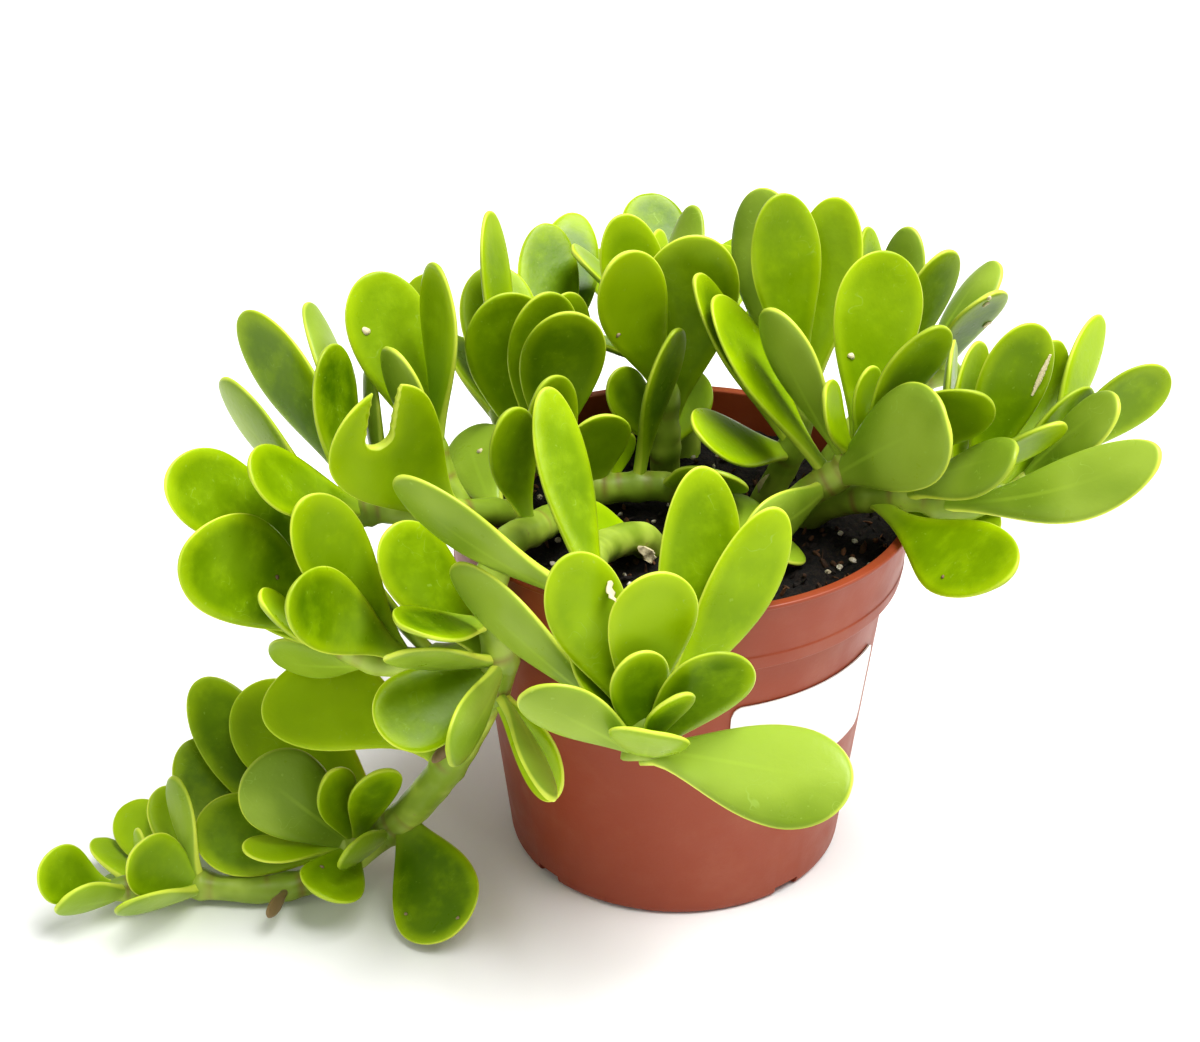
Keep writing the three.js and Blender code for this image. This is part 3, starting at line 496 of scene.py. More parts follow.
def sight_of(pixel):
    """The direction in which a pixel of the picture is seen from the view point."""
    pitch = math.radians(VIEW_PITCH)
    ahead = np.array([0, math.cos(pitch), -math.sin(pitch)])
    up = np.array([0, math.sin(pitch), math.cos(pitch)])
    right = np.array([1, 0, 0])
    across, down = np.subtract(pixel, PICTURE_MIDDLE)
    return unit(ahead * PICTURE_DISTANCE + right * across - up * down)


def direction_of(row, foot):
    """The direction of a leaf. Its tip lies on its line of sight, a leaf's length from its foot."""
    if "tip" not in row:
        return heading(row["compass"], row["rise"])
    sight = sight_of(row["tip"])
    to_foot = foot - VIEW_POINT
    abreast = to_foot @ sight
    aside = to_foot @ to_foot - abreast**2
    lean = math.sqrt(max(0, row["length"] ** 2 - aside))
    reach = abreast + (lean if row.get("far") else -lean)
    return unit(VIEW_POINT + sight * reach - foot)


class Stem:
    """A smooth curve through its points, with a radius that changes evenly from point to point."""

    def __init__(self, shoot, rows):
        self.shoot = shoot
        self.points = np.array([row[:3] for row in rows], float)
        self.radii = np.array([row[3] for row in rows], float)
        first = 2 * self.points[0] - self.points[1]
        last = 2 * self.points[-1] - self.points[-2]
        self.padded = np.vstack([first, self.points, last])

    def at(self, share):
        place = np.clip(np.atleast_1d(share), 0, 1) * (len(self.points) - 1)
        low = np.minimum(place.astype(int), len(self.points) - 2)
        t = (place - low)[:, None]
        p0, p1, p2, p3 = (self.padded[low + k] for k in range(4))
        v0, v1 = (p2 - p0) / 2, (p3 - p1) / 2
        cube = (2 * p1 - 2 * p2 + v0 + v1) * t**3
        return cube + (-3 * p1 + 3 * p2 - 2 * v0 - v1) * t**2 + v0 * t + p1

    def radius(self, share):
        return np.interp(np.atleast_1d(share) * (len(self.radii) - 1), range(len(self.radii)), self.radii)

    def length(self):
        line = self.at(np.linspace(0, 1, 201))
        return np.linalg.norm(np.diff(line, axis=0), axis=1).sum()


class Leaves:
    """All leaves side by side: each field is an array with a row for each leaf."""

    def __init__(self, stems, rows):
        front = heading(270, FRONT_RISE)
        self.stem_number = np.array([number for number, _ in rows])
        self.shoot = np.array([stems[number].shoot for number, _ in rows])
        self.foot = np.array([stems[number].at(row["at"])[0] for number, row in rows])
        self.length = np.array([row["length"] for _, row in rows], float)
        self.width = np.array([row["width"] for _, row in rows], float)
        self.along = np.array([direction_of(row, foot) for (_, row), foot in zip(rows, self.foot)])
        faces = []
        for (_, row), along in zip(rows, self.along):
            toward = np.array([0.0, 0.0, 1.0]) if row["turn"] is SKY else front
            face = unit(toward - along * (toward @ along))
            faces.append(turned(face, along, row["turn"] or 0))
        self.face = np.array(faces)
        self.side = np.cross(self.along, self.face)
        self.bow = np.array([row.get("bow", -SLACK * row["length"]) for _, row in rows])
        self.sweep = np.array([row.get("sweep", 0) for _, row in rows], float)
        self.bitten = np.array([row.get("bitten", False) for _, row in rows])
        usual = TAPER["at_2"] + TAPER["per_ratio"] * (self.length / self.width - 2)
        usual = np.clip(usual, TAPER["least"], TAPER["most"])
        self.taper = np.array([row.get("taper", own) for (_, row), own in zip(rows, usual)])
        self.count = len(rows)

    def half_width(self, index, share):
        to_tip = np.clip((share - WIDEST) / (1 - WIDEST), 0, 1)
        swell = np.sin(math.pi / 2 * np.clip(share / WIDEST, 0, 1)) ** self.taper[index]
        rising = FOOT_WIDTH + (1 - FOOT_WIDTH) * swell
        return self.width[index] / 2 * np.where(share > WIDEST, np.sqrt(1 - to_tip**2), rising)

    def midrib(self, index, share):
        share = np.asarray(share)[..., None]
        arch = 4 * share * (1 - share)
        line = self.foot[index] + self.along[index] * self.length[index][..., None] * share
        line = line + self.face[index] * self.bow[index][..., None] * arch
        return line + self.side[index] * self.sweep[index][..., None] * arch


def blade_spots(leaves):
    """The points of the blades that are kept clear of other blades, and how far up its blade each is."""
    index = np.arange(leaves.count)
    points, levers = [], []
    for share in SPOT_SHARES:
        middle = leaves.midrib(index, np.full(leaves.count, share))
        across = leaves.side * leaves.half_width(index, np.full(leaves.count, share))[:, None]
        for part in SPOT_SIDES:
            points.append(middle + part * across)
            levers.append(share)
    return np.stack(points, axis=1), np.array(levers)


def stem_spots(stem):
    count = math.floor(stem.length() / SPOT_SPACING + 0.5)
    shares = np.arange(count + 1) / count
    return stem.at(shares), stem.radius(shares)


def contacts(leaves, blade, points, thick, least, clear):
    """Where each row of points lies deepest in its blade, on the side that most of its points are on."""
    along, face, side = leaves.along[blade], leaves.face[blade], leaves.side[blade]
    offset = points - leaves.foot[blade][:, None]
    share = np.einsum("psk,pk->ps", offset, along) / leaves.length[blade][:, None]
    numbers = np.repeat(blade[:, None], points.shape[1], axis=1)
    offset = points - leaves.midrib(numbers, share)
    across = np.abs(np.einsum("psk,pk->ps", offset, side))
    height = np.einsum("psk,pk->ps", offset, face)
    inside = (share >= least[:, None]) & (share <= 1 + PRESS["past"])
    inside &= across <= leaves.half_width(numbers, share) + PRESS["margin"]
    inside &= np.abs(height) <= PRESS["reach"]
    sign = np.where((height * inside).sum(axis=1) < 0, -1, 1)
    depth = thick + HALF_THICKNESS + clear[:, None] - sign[:, None] * height
    depth = np.where(inside, np.maximum(depth, 0), 0)
    worst = depth.argmax(axis=1)
    rows = np.arange(len(blade))
    return depth[rows, worst], sign, share[rows, worst], worst


def wall_radius(z):
    share = (z - BASE_CORNER) / (BAND_FOOT_Z - BASE_CORNER)
    return BASE_RADIUS + (WALL_TOP_RADIUS - BASE_RADIUS) * share


def pot_push(points, outside):
    """How far each spot has to move to clear the surface below, the soil and the pot."""
    move = np.zeros_like(points)
    x, y, z = points[..., 0], points[..., 1], points[..., 2]
    radius = np.hypot(x, y)
    up = POT_HEIGHT + RIM_CLEAR - z
    near = (radius <= RIM_RADIUS + RIM_CLEAR) & (up >= 0)
    floor_up = np.maximum(FLOOR_CLEAR - z, 0)
    in_well = radius < RIM_RADIUS - WALL - 2 * RIM_CLEAR
    well_up = np.where(in_well, np.maximum(0, up - POT_HEIGHT + SOIL_Z), up)
    wall = np.where(z > BAND_FOOT_Z - RIM_CLEAR, RIM_RADIUS, wall_radius(z))
    out = np.maximum(0, wall + RIM_CLEAR - radius)
    rise = near & outside & (up < out)
    slide = near & outside & ~rise
    move[..., 2] = np.where(near & ~outside, well_up, np.where(rise, up, np.where(slide, 0, floor_up)))
    move[..., 0] = np.where(slide, x * out / radius, 0)
    move[..., 1] = np.where(slide, y * out / radius, 0)
    return move


def press_apart(leaves, stems):
    """Press leaves that would cross to the two sides of each other, bit by bit, about their feet."""
    home = leaves.along * leaves.length[:, None]
    outside = (np.hypot(leaves.foot[:, 0], leaves.foot[:, 1]) > RIM_RADIUS) & (leaves.foot[:, 2] < POT_HEIGHT)
    rods = [stem_spots(stem) for stem in stems]
    first, second = np.nonzero(~np.eye(leaves.count, dtype=bool))
    reach = (leaves.length[first] + leaves.length[second]) / 2 + PRESS["reach"]
    close = np.linalg.norm(leaves.foot[first] - leaves.foot[second], axis=1) < PRESS["foot_reach"]
    least = np.where(close, PRESS["foot_share"], PRESS["least_share"])
    same = leaves.shoot[first] == leaves.shoot[second]
    clear = np.where(same, PRESS["clear_within"], PRESS["clear_between"])
    every = np.arange(leaves.count)
    for _ in range(PRESS["passes"]):
        spots, levers = blade_spots(leaves)
        middles = leaves.midrib(every, np.full(leaves.count, 0.5))
        moves = np.zeros_like(home)
        near = np.linalg.norm(middles[first] - middles[second], axis=1) <= reach
        other, blade = first[near], second[near]
        touches = contacts(leaves, blade, spots[other], HALF_THICKNESS, least[near], clear[near])
        depth, sign, share, worst = touches
        touching = depth > 0
        lever = levers[worst]
        push = sign * PRESS["step"] * np.minimum(depth, PRESS["most"]) / (share**2 + lever**2)
        push = np.where(touching, push, 0)[:, None] * leaves.face[blade]
        np.add.at(moves, other, push * lever[:, None])
        np.add.at(moves, blade, -push * share[:, None])
        for number, (points, radii) in enumerate(rods):
            own = leaves.stem_number == number
            rod_least = np.where(own, PRESS["foot_share"], PRESS["least_share"])
            same_shoot = leaves.shoot == stems[number].shoot
            rod_clear = np.where(same_shoot, PRESS["clear_within"], PRESS["clear_between"])
            rows = np.repeat(points[None], leaves.count, axis=0)
            depth, sign, share, _ = contacts(leaves, every, rows, radii, rod_least, rod_clear)
            push = sign * PRESS["step"] * np.minimum(depth, PRESS["most"]) / np.where(depth > 0, share, 1)
            moves -= push[:, None] * leaves.face
        lift = pot_push(spots, outside[:, None]) * (PRESS["step"] / levers / len(SPOT_SIDES))[None, :, None]
        moves += lift.sum(axis=1)
        sight = unit(middles - VIEW_POINT)
        back = home - leaves.along * leaves.length[:, None]
        push_deep = (moves * sight).sum(axis=1) * (1 - PRESS["across"])
        hold_less = (back * sight).sum(axis=1) * (PRESS["hold"] - PRESS["hold_deep"])
        step = moves * PRESS["across"] + back * PRESS["hold"] + sight * (push_deep - hold_less)[:, None]
        leaves.along = unit(leaves.along * leaves.length[:, None] + step)
        tilt = (leaves.face * leaves.along).sum(axis=1, keepdims=True)
        leaves.face = unit(leaves.face - leaves.along * tilt)
        leaves.side = np.cross(leaves.along, leaves.face)


def grow():
    """The stems and leaves of every shoot, pressed apart."""
    stems, rows = [], []
    for shoot, parts in TREE.items():
        for part in parts:
            stems.append(Stem(shoot, part["points"]))
            rows += [(len(stems) - 1, row) for row in part["leaves"]]
    leaves = Leaves(stems, rows)
    press_apart(leaves, stems)
    return stems, leaves


# Meshes


class Surface:
    """Gathers the points, faces and values of one mesh, in millimetres."""

    def __init__(self):
        self.points, self.faces, self.slots = [], [], []
        self.values = {}
        self.count = 0

    def add(self, points, faces, slot=0, **values):
        """Every part that is added to one surface gives the same values, one number for each point."""
        self.points.append(points)
        self.faces += [[corner + self.count for corner in face] for face in faces]
        self.slots += [slot] * len(faces)
        for name, value in values.items():
            column = np.broadcast_to(np.asarray(value, float), len(points))
            self.values.setdefault(name, []).append(column)
        self.count += len(points)

    def piece(self, name, *materials, smooth=True):
        mesh = bpy.data.meshes.new(name)
        mesh.from_pydata((np.vstack(self.points) * MM).tolist(), [], self.faces)
        for value, columns in self.values.items():
            attribute = mesh.attributes.new(value, "FLOAT", "POINT")
            attribute.data.foreach_set("value", np.concatenate(columns).astype(np.float32))
        for material in materials:
            mesh.materials.append(material)
        mesh.polygons.foreach_set("material_index", self.slots)
        mesh.polygons.foreach_set("use_smooth", [smooth] * len(mesh.polygons))
        mesh.update()
        obj = bpy.data.objects.new(name, mesh)
        bpy.context.scene.collection.objects.link(obj)
        return obj


def ring_faces(rings, around):
    """Faces of a skin over rings of points, with one more point at each end."""
    faces = []
    for ring in range(rings - 1):
        for k in range(around):
            nxt = (k + 1) % around
            a, b = ring * around, (ring + 1) * around
            faces.append((a + k, a + nxt, b + nxt, b + k))
    start, end = rings * around, rings * around + 1
    last = (rings - 1) * around
    for k in range(around):
        nxt = (k + 1) % around
        faces.append((start, nxt, k))
        faces.append((end, last + k, last + nxt))
    return faces


def round_section(half_width, half_thickness, around):
    """A flat section with full, rounded edges: where its points lie across and up, ring by ring, and
    their shares of the half width and of the half thickness."""
    turn = 2 * math.pi * np.arange(around) / around
    power = 2 / SQUARENESS
    across = np.sign(np.cos(turn)) * np.abs(np.cos(turn)) ** power
    up = np.sign(np.sin(turn)) * np.abs(np.sin(turn)) ** power
    return half_width[:, None] * across, half_thickness[:, None] * up, across, np.sin(turn)


def add_leaf(surface, leaves, number, rng):
    """One fleshy blade: a stalk that widens to a round blade, cupped a little, with a rounded edge."""
    bitten = leaves.bitten[number]
    stations = LEAF_STATIONS * (2 if bitten else 1)
    around = LEAF_ROUND * (4 if bitten else 1)
    share = 1 - (1 - np.arange(stations) / stations) ** 2
    numbers = np.full(stations, number)
    length, width = leaves.length[number], leaves.width[number]
    half = leaves.half_width(numbers, share)
    half = half + FOOT_FLARE * np.exp(-share * length / FLARE_RUN)
    full = HALF_THICKNESS * min(1, (1 + width / FULL_THICKNESS_WIDTH) / 2)
    thick = full * (1 - TIP_THINNING * share**2)
    roll = np.clip(1 - (1 - share) * length / EDGE_ROUNDING, 0, 1)
    thick = thick * np.sqrt(1 - roll**2)
    x, z, x_share, up = round_section(half, np.maximum(thick, 0.05), around)
    z = np.where(z > 0, z * UPPER_FULLNESS, z * UNDER_FULLNESS)
    swell = np.clip(share / WIDEST, 0, 1)[:, None]
    cup = rng.uniform(*CUP) * swell
    wave = rng.uniform(-WAVE, WAVE) * np.sin(rng.uniform(3, 7) * share + rng.uniform(0, 6))[:, None]
    z = z + cup * half[:, None] * x_share**2 + wave * half[:, None] * x_share * swell
    middle = leaves.midrib(numbers, share)
    rings = middle[:, None] + x[..., None] * leaves.side[number] + z[..., None] * leaves.face[number]
    ends = np.array([leaves.foot[number], leaves.midrib(np.array([number]), np.array([1.0]))[0]])
    to_tip = np.clip((share - WIDEST) / (1 - WIDEST), 0, 1)[:, None]
    round_edge = (1 - np.hypot(to_tip, x_share * np.sqrt(1 - to_tip**2))) * width / 2
    edge = np.where(share[:, None] > WIDEST, round_edge, half[:, None] * (1 - np.abs(x_share)))
    values = {
        "edge": np.append(edge.ravel(), [0, 0]),
        "across": np.append(x.ravel(), [0, 0]),
        "share": np.append(np.repeat(share, around), [0, 1]),
        "upper": np.append(np.tile(up, stations), [0, 0]),
        "tone": rng.uniform(0, 1),
        "young": np.clip((YOUNG_LENGTH - length) / YOUNG_LENGTH, 0, 1),
        "dry": 1 if width <= DRY_WIDTH else 0,
        "scar": 0,
    }
    points, faces = np.vstack([rings.reshape(-1, 3), ends]), ring_faces(stations, around)
    if bitten:
        points, faces, values = bite_out(leaves, number, points, faces, values)
    surface.add(points, faces, **values)


def bite_out(leaves, number, points, faces, values):
    """The blade with its bite cut out, as points, faces and values again."""
    blade = Surface()
    blade.add(points, faces, **values)
    blade = blade.piece("blade")
    along, face, side = leaves.along[number], leaves.face[number], leaves.side[number]
    turn = 2 * math.pi * np.arange(BITE["sides"]) / BITE["sides"]
    circle = BITE["radius"] * (np.cos(turn)[:, None] * side + np.sin(turn)[:, None] * along)
    middles = [leaves.midrib(np.array([number]), np.array([share]))[0] + across * side
               for share, across in np.linspace(BITE["from"], BITE["to"], BITE["holes"])]
    for middle in middles:
        low, high = middle - face * BITE["depth"] / 2, middle + face * BITE["depth"] / 2
        plug = Surface()
        plug.add(np.vstack([circle + low, circle + high, [low, high]]), ring_faces(2, BITE["sides"]))
        cut_out(blade, plug.piece("plug"))
    mesh = blade.data
    points = np.array([tuple(vert.co) for vert in mesh.vertices]) / MM
    faces = [tuple(polygon.vertices) for polygon in mesh.polygons]
    values = {name: [value.value for value in mesh.attributes[name].data] for name in values}
    bpy.data.objects.remove(blade)
    for middle in middles:
        offset = points - middle
        gap = np.hypot(offset @ along, offset @ side) - BITE["radius"]
        values["edge"] = np.minimum(values["edge"], np.maximum(gap, 0))
    return points, faces, values


def stem_frames(line):
    """Two directions across the line at each of its points, that turn with it as little as may be."""
    along = unit(np.gradient(line, axis=0))
    side = np.zeros_like(along)
    start = np.array([0.0, 1.0, 0.0]) if abs(along[0][2]) > 0.7 else np.array([0.0, 0.0, 1.0])
    for k, direction in enumerate(along):
        start = unit(start - direction * (start @ direction))
        side[k] = start
    return along, side, np.cross(along, side)


def add_stem(surface, stem, leaves, number, rng):
    """A fleshy stem: it swells at each leaf, and a ridge runs down it below the leaf."""
    count = int(stem.length() / STEM_STEP) + 1
    shares = np.linspace(0, 1, count)
    line = stem.at(shares)
    run = np.append(0, np.cumsum(np.linalg.norm(np.diff(line, axis=0), axis=1)))
    along, side, across = stem_frames(line)
    turn = 2 * math.pi * np.arange(STEM_ROUND) / STEM_ROUND
    radius = np.repeat(stem.radius(shares)[:, None], STEM_ROUND, axis=1) * STEM_FINENESS
    scar = np.zeros_like(radius)
    for leaf in np.nonzero(leaves.stem_number == number)[0]:
        nearest = np.linalg.norm(line - leaves.foot[leaf], axis=1).argmin()
        below = run[nearest] - run
        spread = math.atan2(leaves.along[leaf] @ across[nearest], leaves.along[leaf] @ side[nearest])
        off = np.abs((turn - spread + math.pi) % (2 * math.pi) - math.pi)
        fade = np.where(below < 0, np.exp(-((below / 2.0) ** 2)), np.exp(-below / RIDGE_RUN))[:, None]
        radius += RIDGE_HEIGHT * fade * np.exp(-((off / 0.55) ** 2))
        radius += NODE_SWELL * np.exp(-((below[:, None] / 2.5) ** 2))
        band = np.exp(-(((below[:, None] - SCAR_BELOW) / 0.7) ** 2))
        scar = np.maximum(scar, band * np.exp(-((off / 1.4) ** 4)))
    for scale, depth in STEM_WAVES:
        phase = 2 * np.sin(turn * 2 + rng.uniform(0, 6))
        radius += depth * np.sin(run[:, None] / scale * WAVE_TURN + phase)
    rings = line[:, None] + radius[..., None] * (
        side[:, None] * np.cos(turn)[None, :, None] + across[:, None] * np.sin(turn)[None, :, None])
    ends = np.array([line[0], line[-1] + along[-1] * radius[-1].mean() * 0.4])
    surface.add(
        np.vstack([rings.reshape(-1, 3), ends]),
        ring_faces(count, STEM_ROUND),
        slot=1,
        edge=9,
        across=9,
        share=np.append(np.repeat(shares, STEM_ROUND), [0, 1]),
        upper=0,
        tone=rng.uniform(0, 1),
        young=0,
        dry=0,
        scar=np.append(scar.ravel(), [0, 0]),
    )


def make_shoots(leaf_material, stem_material):
    stems, leaves = grow()
    rng = np.random.default_rng(LEAF_SEED)
    pieces = []
    for shoot in TREE:
        surface = Surface()
        for number, stem in enumerate(stems):
            if stem.shoot == shoot:
                add_stem(surface, stem, leaves, number, rng)
        for number in np.nonzero(leaves.shoot == shoot)[0]:
            add_leaf(surface, leaves, number, rng)
        piece = surface.piece(f"{shoot}_fine", leaf_material, stem_material)
        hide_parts(shoot)
        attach(piece, "root")
        pieces.append(piece)
    return pieces


# Marks and dry bits


def seen_at(pieces, pixel):
    """The nearest place of the pieces that a pixel of the picture shows, and its normal."""
    sight = sight_of(pixel)
    hits = []
    for piece in pieces:
        found, place, normal, _ = piece.ray_cast((VIEW_POINT * MM).tolist(), sight.tolist())
        if found:
            place = np.array(place) / MM
            hits.append(((place - VIEW_POINT) @ sight, place, np.array(normal)))
    if not hits:
        return None
    _, place, normal = min(hits, key=lambda hit: hit[0])
    return place, normal


def add_mark(surface, place, normal, radius, dark, rng):
    """A small corky mound with a sunken middle."""
    side = unit(np.cross(normal, [0.3, 0.2, 1.0]))
    across = np.cross(normal, side)
    turn = 2 * math.pi * np.arange(MARK_ROUND) / MARK_ROUND
    wobble = 1 + 0.14 * np.sin(2 * turn + rng.uniform(0, 6)) + 0.1 * np.sin(3 * turn + rng.uniform(0, 6))
    rings = []
    for part, height in MARK_PROFILE:
        circle = np.cos(turn)[:, None] * side + np.sin(turn)[:, None] * across
        rings.append(place + circle * (radius * part * wobble)[:, None] + normal * height)
    ends = np.array([place - normal * 0.5, place + normal * 0.1])
    core = [1 - part for part, _ in MARK_PROFILE]
    surface.add(
        np.vstack([*rings, ends]), ring_faces(len(MARK_PROFILE), MARK_ROUND),
        core=np.append(np.repeat(core, MARK_ROUND), [0, 1]), dark=dark,
    )


def add_flake(surface, ends, width, rng):
    """A thin dry strip that curls off the surface between two places."""
    (start, normal), (end, _) = ends
    run = end - start
    side = unit(np.cross(run, normal))
    lift = np.cross(side, unit(run))
    turn = 2 * math.pi * np.arange(FLAKE_ROUND) / FLAKE_ROUND
    rings = []
    for share in np.linspace(0, 1, FLAKE_STEPS):
        spread = width / 2 * (0.35 + math.sin(math.pi * share) ** 0.7)
        tilt = rng.uniform(-0.5, 0.5)
        out = 0.6 + FLAKE_LIFT * math.sin(math.pi * share) + rng.uniform(-0.3, 0.3)
        flat = np.cos(turn) * spread
        curl = flat**2 / width * rng.uniform(0.2, 0.9) + np.sin(turn) * FLAKE_HALF_THICKNESS + flat * tilt
        rings.append(start + run * share + flat[:, None] * side + (curl + out)[:, None] * lift)
    ends = np.array([rings[0].mean(axis=0), rings[-1].mean(axis=0)])
    faces = ring_faces(FLAKE_STEPS, FLAKE_ROUND)
    surface.add(np.vstack([*rings, ends]), faces, core=rng.uniform(0, 0.5), dark=0)


def make_marks(pieces, material):
    """Corky spots, a slit scar and dry bits, each where the picture shows it."""
    rng = np.random.default_rng(MARK_SEED)
    marks = Surface()
    for pixel, radius, dark in SPOTS:
        seen = seen_at(pieces, pixel)
        if seen:
            add_mark(marks, *seen, radius, dark, rng)
    start, end = (np.array(pixel, float) for pixel in SLIT["from_to"])
    for share in np.linspace(0, 1, SLIT["count"]):
        seen = seen_at(pieces, start + (end - start) * share)
        if seen:
            radius = SLIT["radius"] * (0.4 + 0.6 * math.sin(math.pi * share))
            add_mark(marks, *seen, radius, 0.1, rng)
    for first, last, width in FLAKES:
        ends = seen_at(pieces, first), seen_at(pieces, last)
        if all(ends) and np.linalg.norm(ends[0][0] - ends[1][0]) < FLAKE_REACH:
            add_flake(marks, ends, width, rng)
    piece = marks.piece("corky_marks", material)
    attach(piece, "root")


# Pot


def filleted(profile):
    """The corners of a profile rounded: each row is a radius, a height and the corner's fillet."""
    points = []
    for k, (radius, z, fillet) in enumerate(profile):
        here = np.array([radius, z], float)
        if fillet == 0 or k in (0, len(profile) - 1):
            points.append(here)
            continue
        before = np.array(profile[k - 1][:2], float)
        after = np.array(profile[k + 1][:2], float)
        room = min(np.linalg.norm(before - here), np.linalg.norm(after - here)) * 0.49
        reach = min(fillet, room)
        a = here + unit(before - here) * reach
        b = here + unit(after - here) * reach
        for t in np.linspace(0, 1, 6):
            points.append(a * (1 - t) ** 2 + here * 2 * t * (1 - t) + b * t**2)
    return np.array(points)


def lathe(profile, sides):
    """A closed body of revolution. The profile runs from the axis at the bottom to the axis again."""
    turn = 2 * math.pi * np.arange(sides) / sides
    rings = np.empty((len(profile) - 2, sides, 3))
    rings[..., 0] = profile[1:-1, 0:1] * np.cos(turn)
    rings[..., 1] = profile[1:-1, 0:1] * np.sin(turn)
    rings[..., 2] = profile[1:-1, 1:2]
    ends = np.array([[0, 0, profile[0, 1]], [0, 0, profile[-1, 1]]])
    return np.vstack([rings.reshape(-1, 3), ends]), ring_faces(len(profile) - 2, sides)


def cut_out(obj, tool):
    """Cuts the tool's shape out of the object and removes the tool."""
    cut = obj.modifiers.new("cut", "BOOLEAN")
    cut.operation = "DIFFERENCE"
    cut.solver = "EXACT"
    cut.object = tool
    bpy.context.view_layer.update()
    done = bpy.data.meshes.new_from_object(obj.evaluated_get(bpy.context.evaluated_depsgraph_get()))
    obj.modifiers.clear()
    obj.data = done
    bpy.data.objects.remove(tool)


def cut_blocks(obj, blocks):
    """Cuts a box out of the object for each row of centre, size and turn about Z in radians."""
    cutter = bpy.data.meshes.new("cutter")
    shape = bmesh.new()
    for centre, size, turn in blocks:
        made = bmesh.ops.create_cube(shape, size=1)["verts"]
        bmesh.ops.scale(shape, verts=made, vec=[length * MM for length in size])
        c, s = math.cos(turn), math.sin(turn)
        for vert in made:
            x, y, z = vert.co
            vert.co = (c * x - s * y + centre[0] * MM, s * x + c * y + centre[1] * MM, z + centre[2] * MM)
    shape.to_mesh(cutter)
    shape.free()
    tool = bpy.data.objects.new("cutter", cutter)
    bpy.context.scene.collection.objects.link(tool)
    cut_out(obj, tool)


def make_pot(material):
    lip_foot = POT_HEIGHT - LIP_HEIGHT
    profile = filleted([
        (0, 0, 0),
        (BASE_RADIUS - 12, 0, 0),
        (BASE_RADIUS, 0, BASE_CORNER),
        (WALL_TOP_RADIUS, BAND_FOOT_Z, 0.5),
        (BAND_FOOT_RADIUS, BAND_FOOT_Z, 0.8),
        (BAND_FOOT_RADIUS + 0.8, BAND_STEP_Z, 0.3),
        (BAND_FOOT_RADIUS + 0.45, BAND_STEP_Z + 0.5, 0.3),
        (RIM_RADIUS - LIP_OVERHANG, lip_foot, 0.4),
        (RIM_RADIUS, lip_foot + 0.2, 0.5),
        (RIM_RADIUS, POT_HEIGHT, 0.7),
        (RIM_RADIUS - LIP_OVERHANG - WALL, POT_HEIGHT, 0.8),
        (BAND_FOOT_RADIUS - WALL, BAND_FOOT_Z, 1),
        (WALL_TOP_RADIUS - WALL, BAND_FOOT_Z - WALL, 1),
        (BASE_RADIUS - WALL, FLOOR_THICKNESS, 2),
        (0, FLOOR_THICKNESS, 0),
    ])
    surface = Surface()
    surface.add(*lathe(profile, POT_SIDES))
    pot = surface.piece("pot_fine", material)
    blocks = []
    for cut in (NOTCH, RECESS):
        for k in range(cut["count"]):
            turn = math.radians(cut["first_angle"] + 360 / cut["count"] * k)
            centre = (BASE_RADIUS * math.cos(turn), BASE_RADIUS * math.sin(turn), 0)
            blocks.append((centre, (2 * cut["depth"], cut["width"], 2 * cut["height"]), turn))
    cut_blocks(pot, blocks)
    pot.data.polygons.foreach_set("use_smooth", [True] * len(pot.data.polygons))
    pot.data.set_sharp_from_angle(angle=math.radians(35))
    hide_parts("pot")
    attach(pot, "root")


def make_label(material):
    """A thin curved sheet with rounded corners, on the wall."""
    columns, rows = LABEL_COLUMNS, LABEL_ROWS
    span = math.radians(LABEL["to"] - LABEL["from"]) * WALL_TOP_RADIUS
    surface = Surface()
    sheet = []
    for depth in (LABEL["gap"], LABEL["gap"] + LABEL["thickness"]):
        for i in range(columns + 1):
            run = span * i / columns
            inset = max(0, LABEL["corner"] - min(run, span - run))
            cut = LABEL["corner"] - math.sqrt(max(0, LABEL["corner"] ** 2 - inset**2))
            turn = math.radians(LABEL["from"]) + run / WALL_TOP_RADIUS
            for j in range(rows + 1):
                z = LABEL["bottom"] + cut + (LABEL["top"] - LABEL["bottom"] - 2 * cut) * j / rows
                radius = wall_radius(z) + depth
                sheet.append((radius * math.cos(turn), radius * math.sin(turn), z))

    def at(i, j, top):
        return (top * (columns + 1) + i) * (rows + 1) + j

    faces = []
    for i in range(columns):
        for j in range(rows):
            faces.append((at(i, j, 1), at(i + 1, j, 1), at(i + 1, j + 1, 1), at(i, j + 1, 1)))
            faces.append((at(i, j, 0), at(i, j + 1, 0), at(i + 1, j + 1, 0), at(i + 1, j, 0)))
    rim = [(i, 0) for i in range(columns)] + [(columns, j) for j in range(rows)]
    rim += [(i, rows) for i in range(columns, 0, -1)] + [(0, j) for j in range(rows, 0, -1)]
    for (i, j), (m, n) in zip(rim, rim[1:] + rim[:1]):
        faces.append((at(i, j, 0), at(m, n, 0), at(m, n, 1), at(i, j, 1)))
    surface.add(np.array(sheet), faces)
    label = surface.piece("label_fine", material)
    label.data.set_sharp_from_angle(angle=math.radians(40))
    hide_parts("label")
    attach(label, "root")


# Soil


def soil_height(x, y):
    """The bumpy top of the peat, from a few sums of waves."""
    height = SOIL_Z + 1.3 * np.sin(x * 0.31 + y * 0.13) * np.cos(y * 0.27 - x * 0.09)
    height += 0.7 * np.sin(x * 0.9 + 1.3 * np.sin(y * 0.5)) * np.sin(y * 0.8 + 2)
    return height + 0.35 * np.sin(x * 2.3 + y) * np.sin(y * 2.1 - x * 0.7)


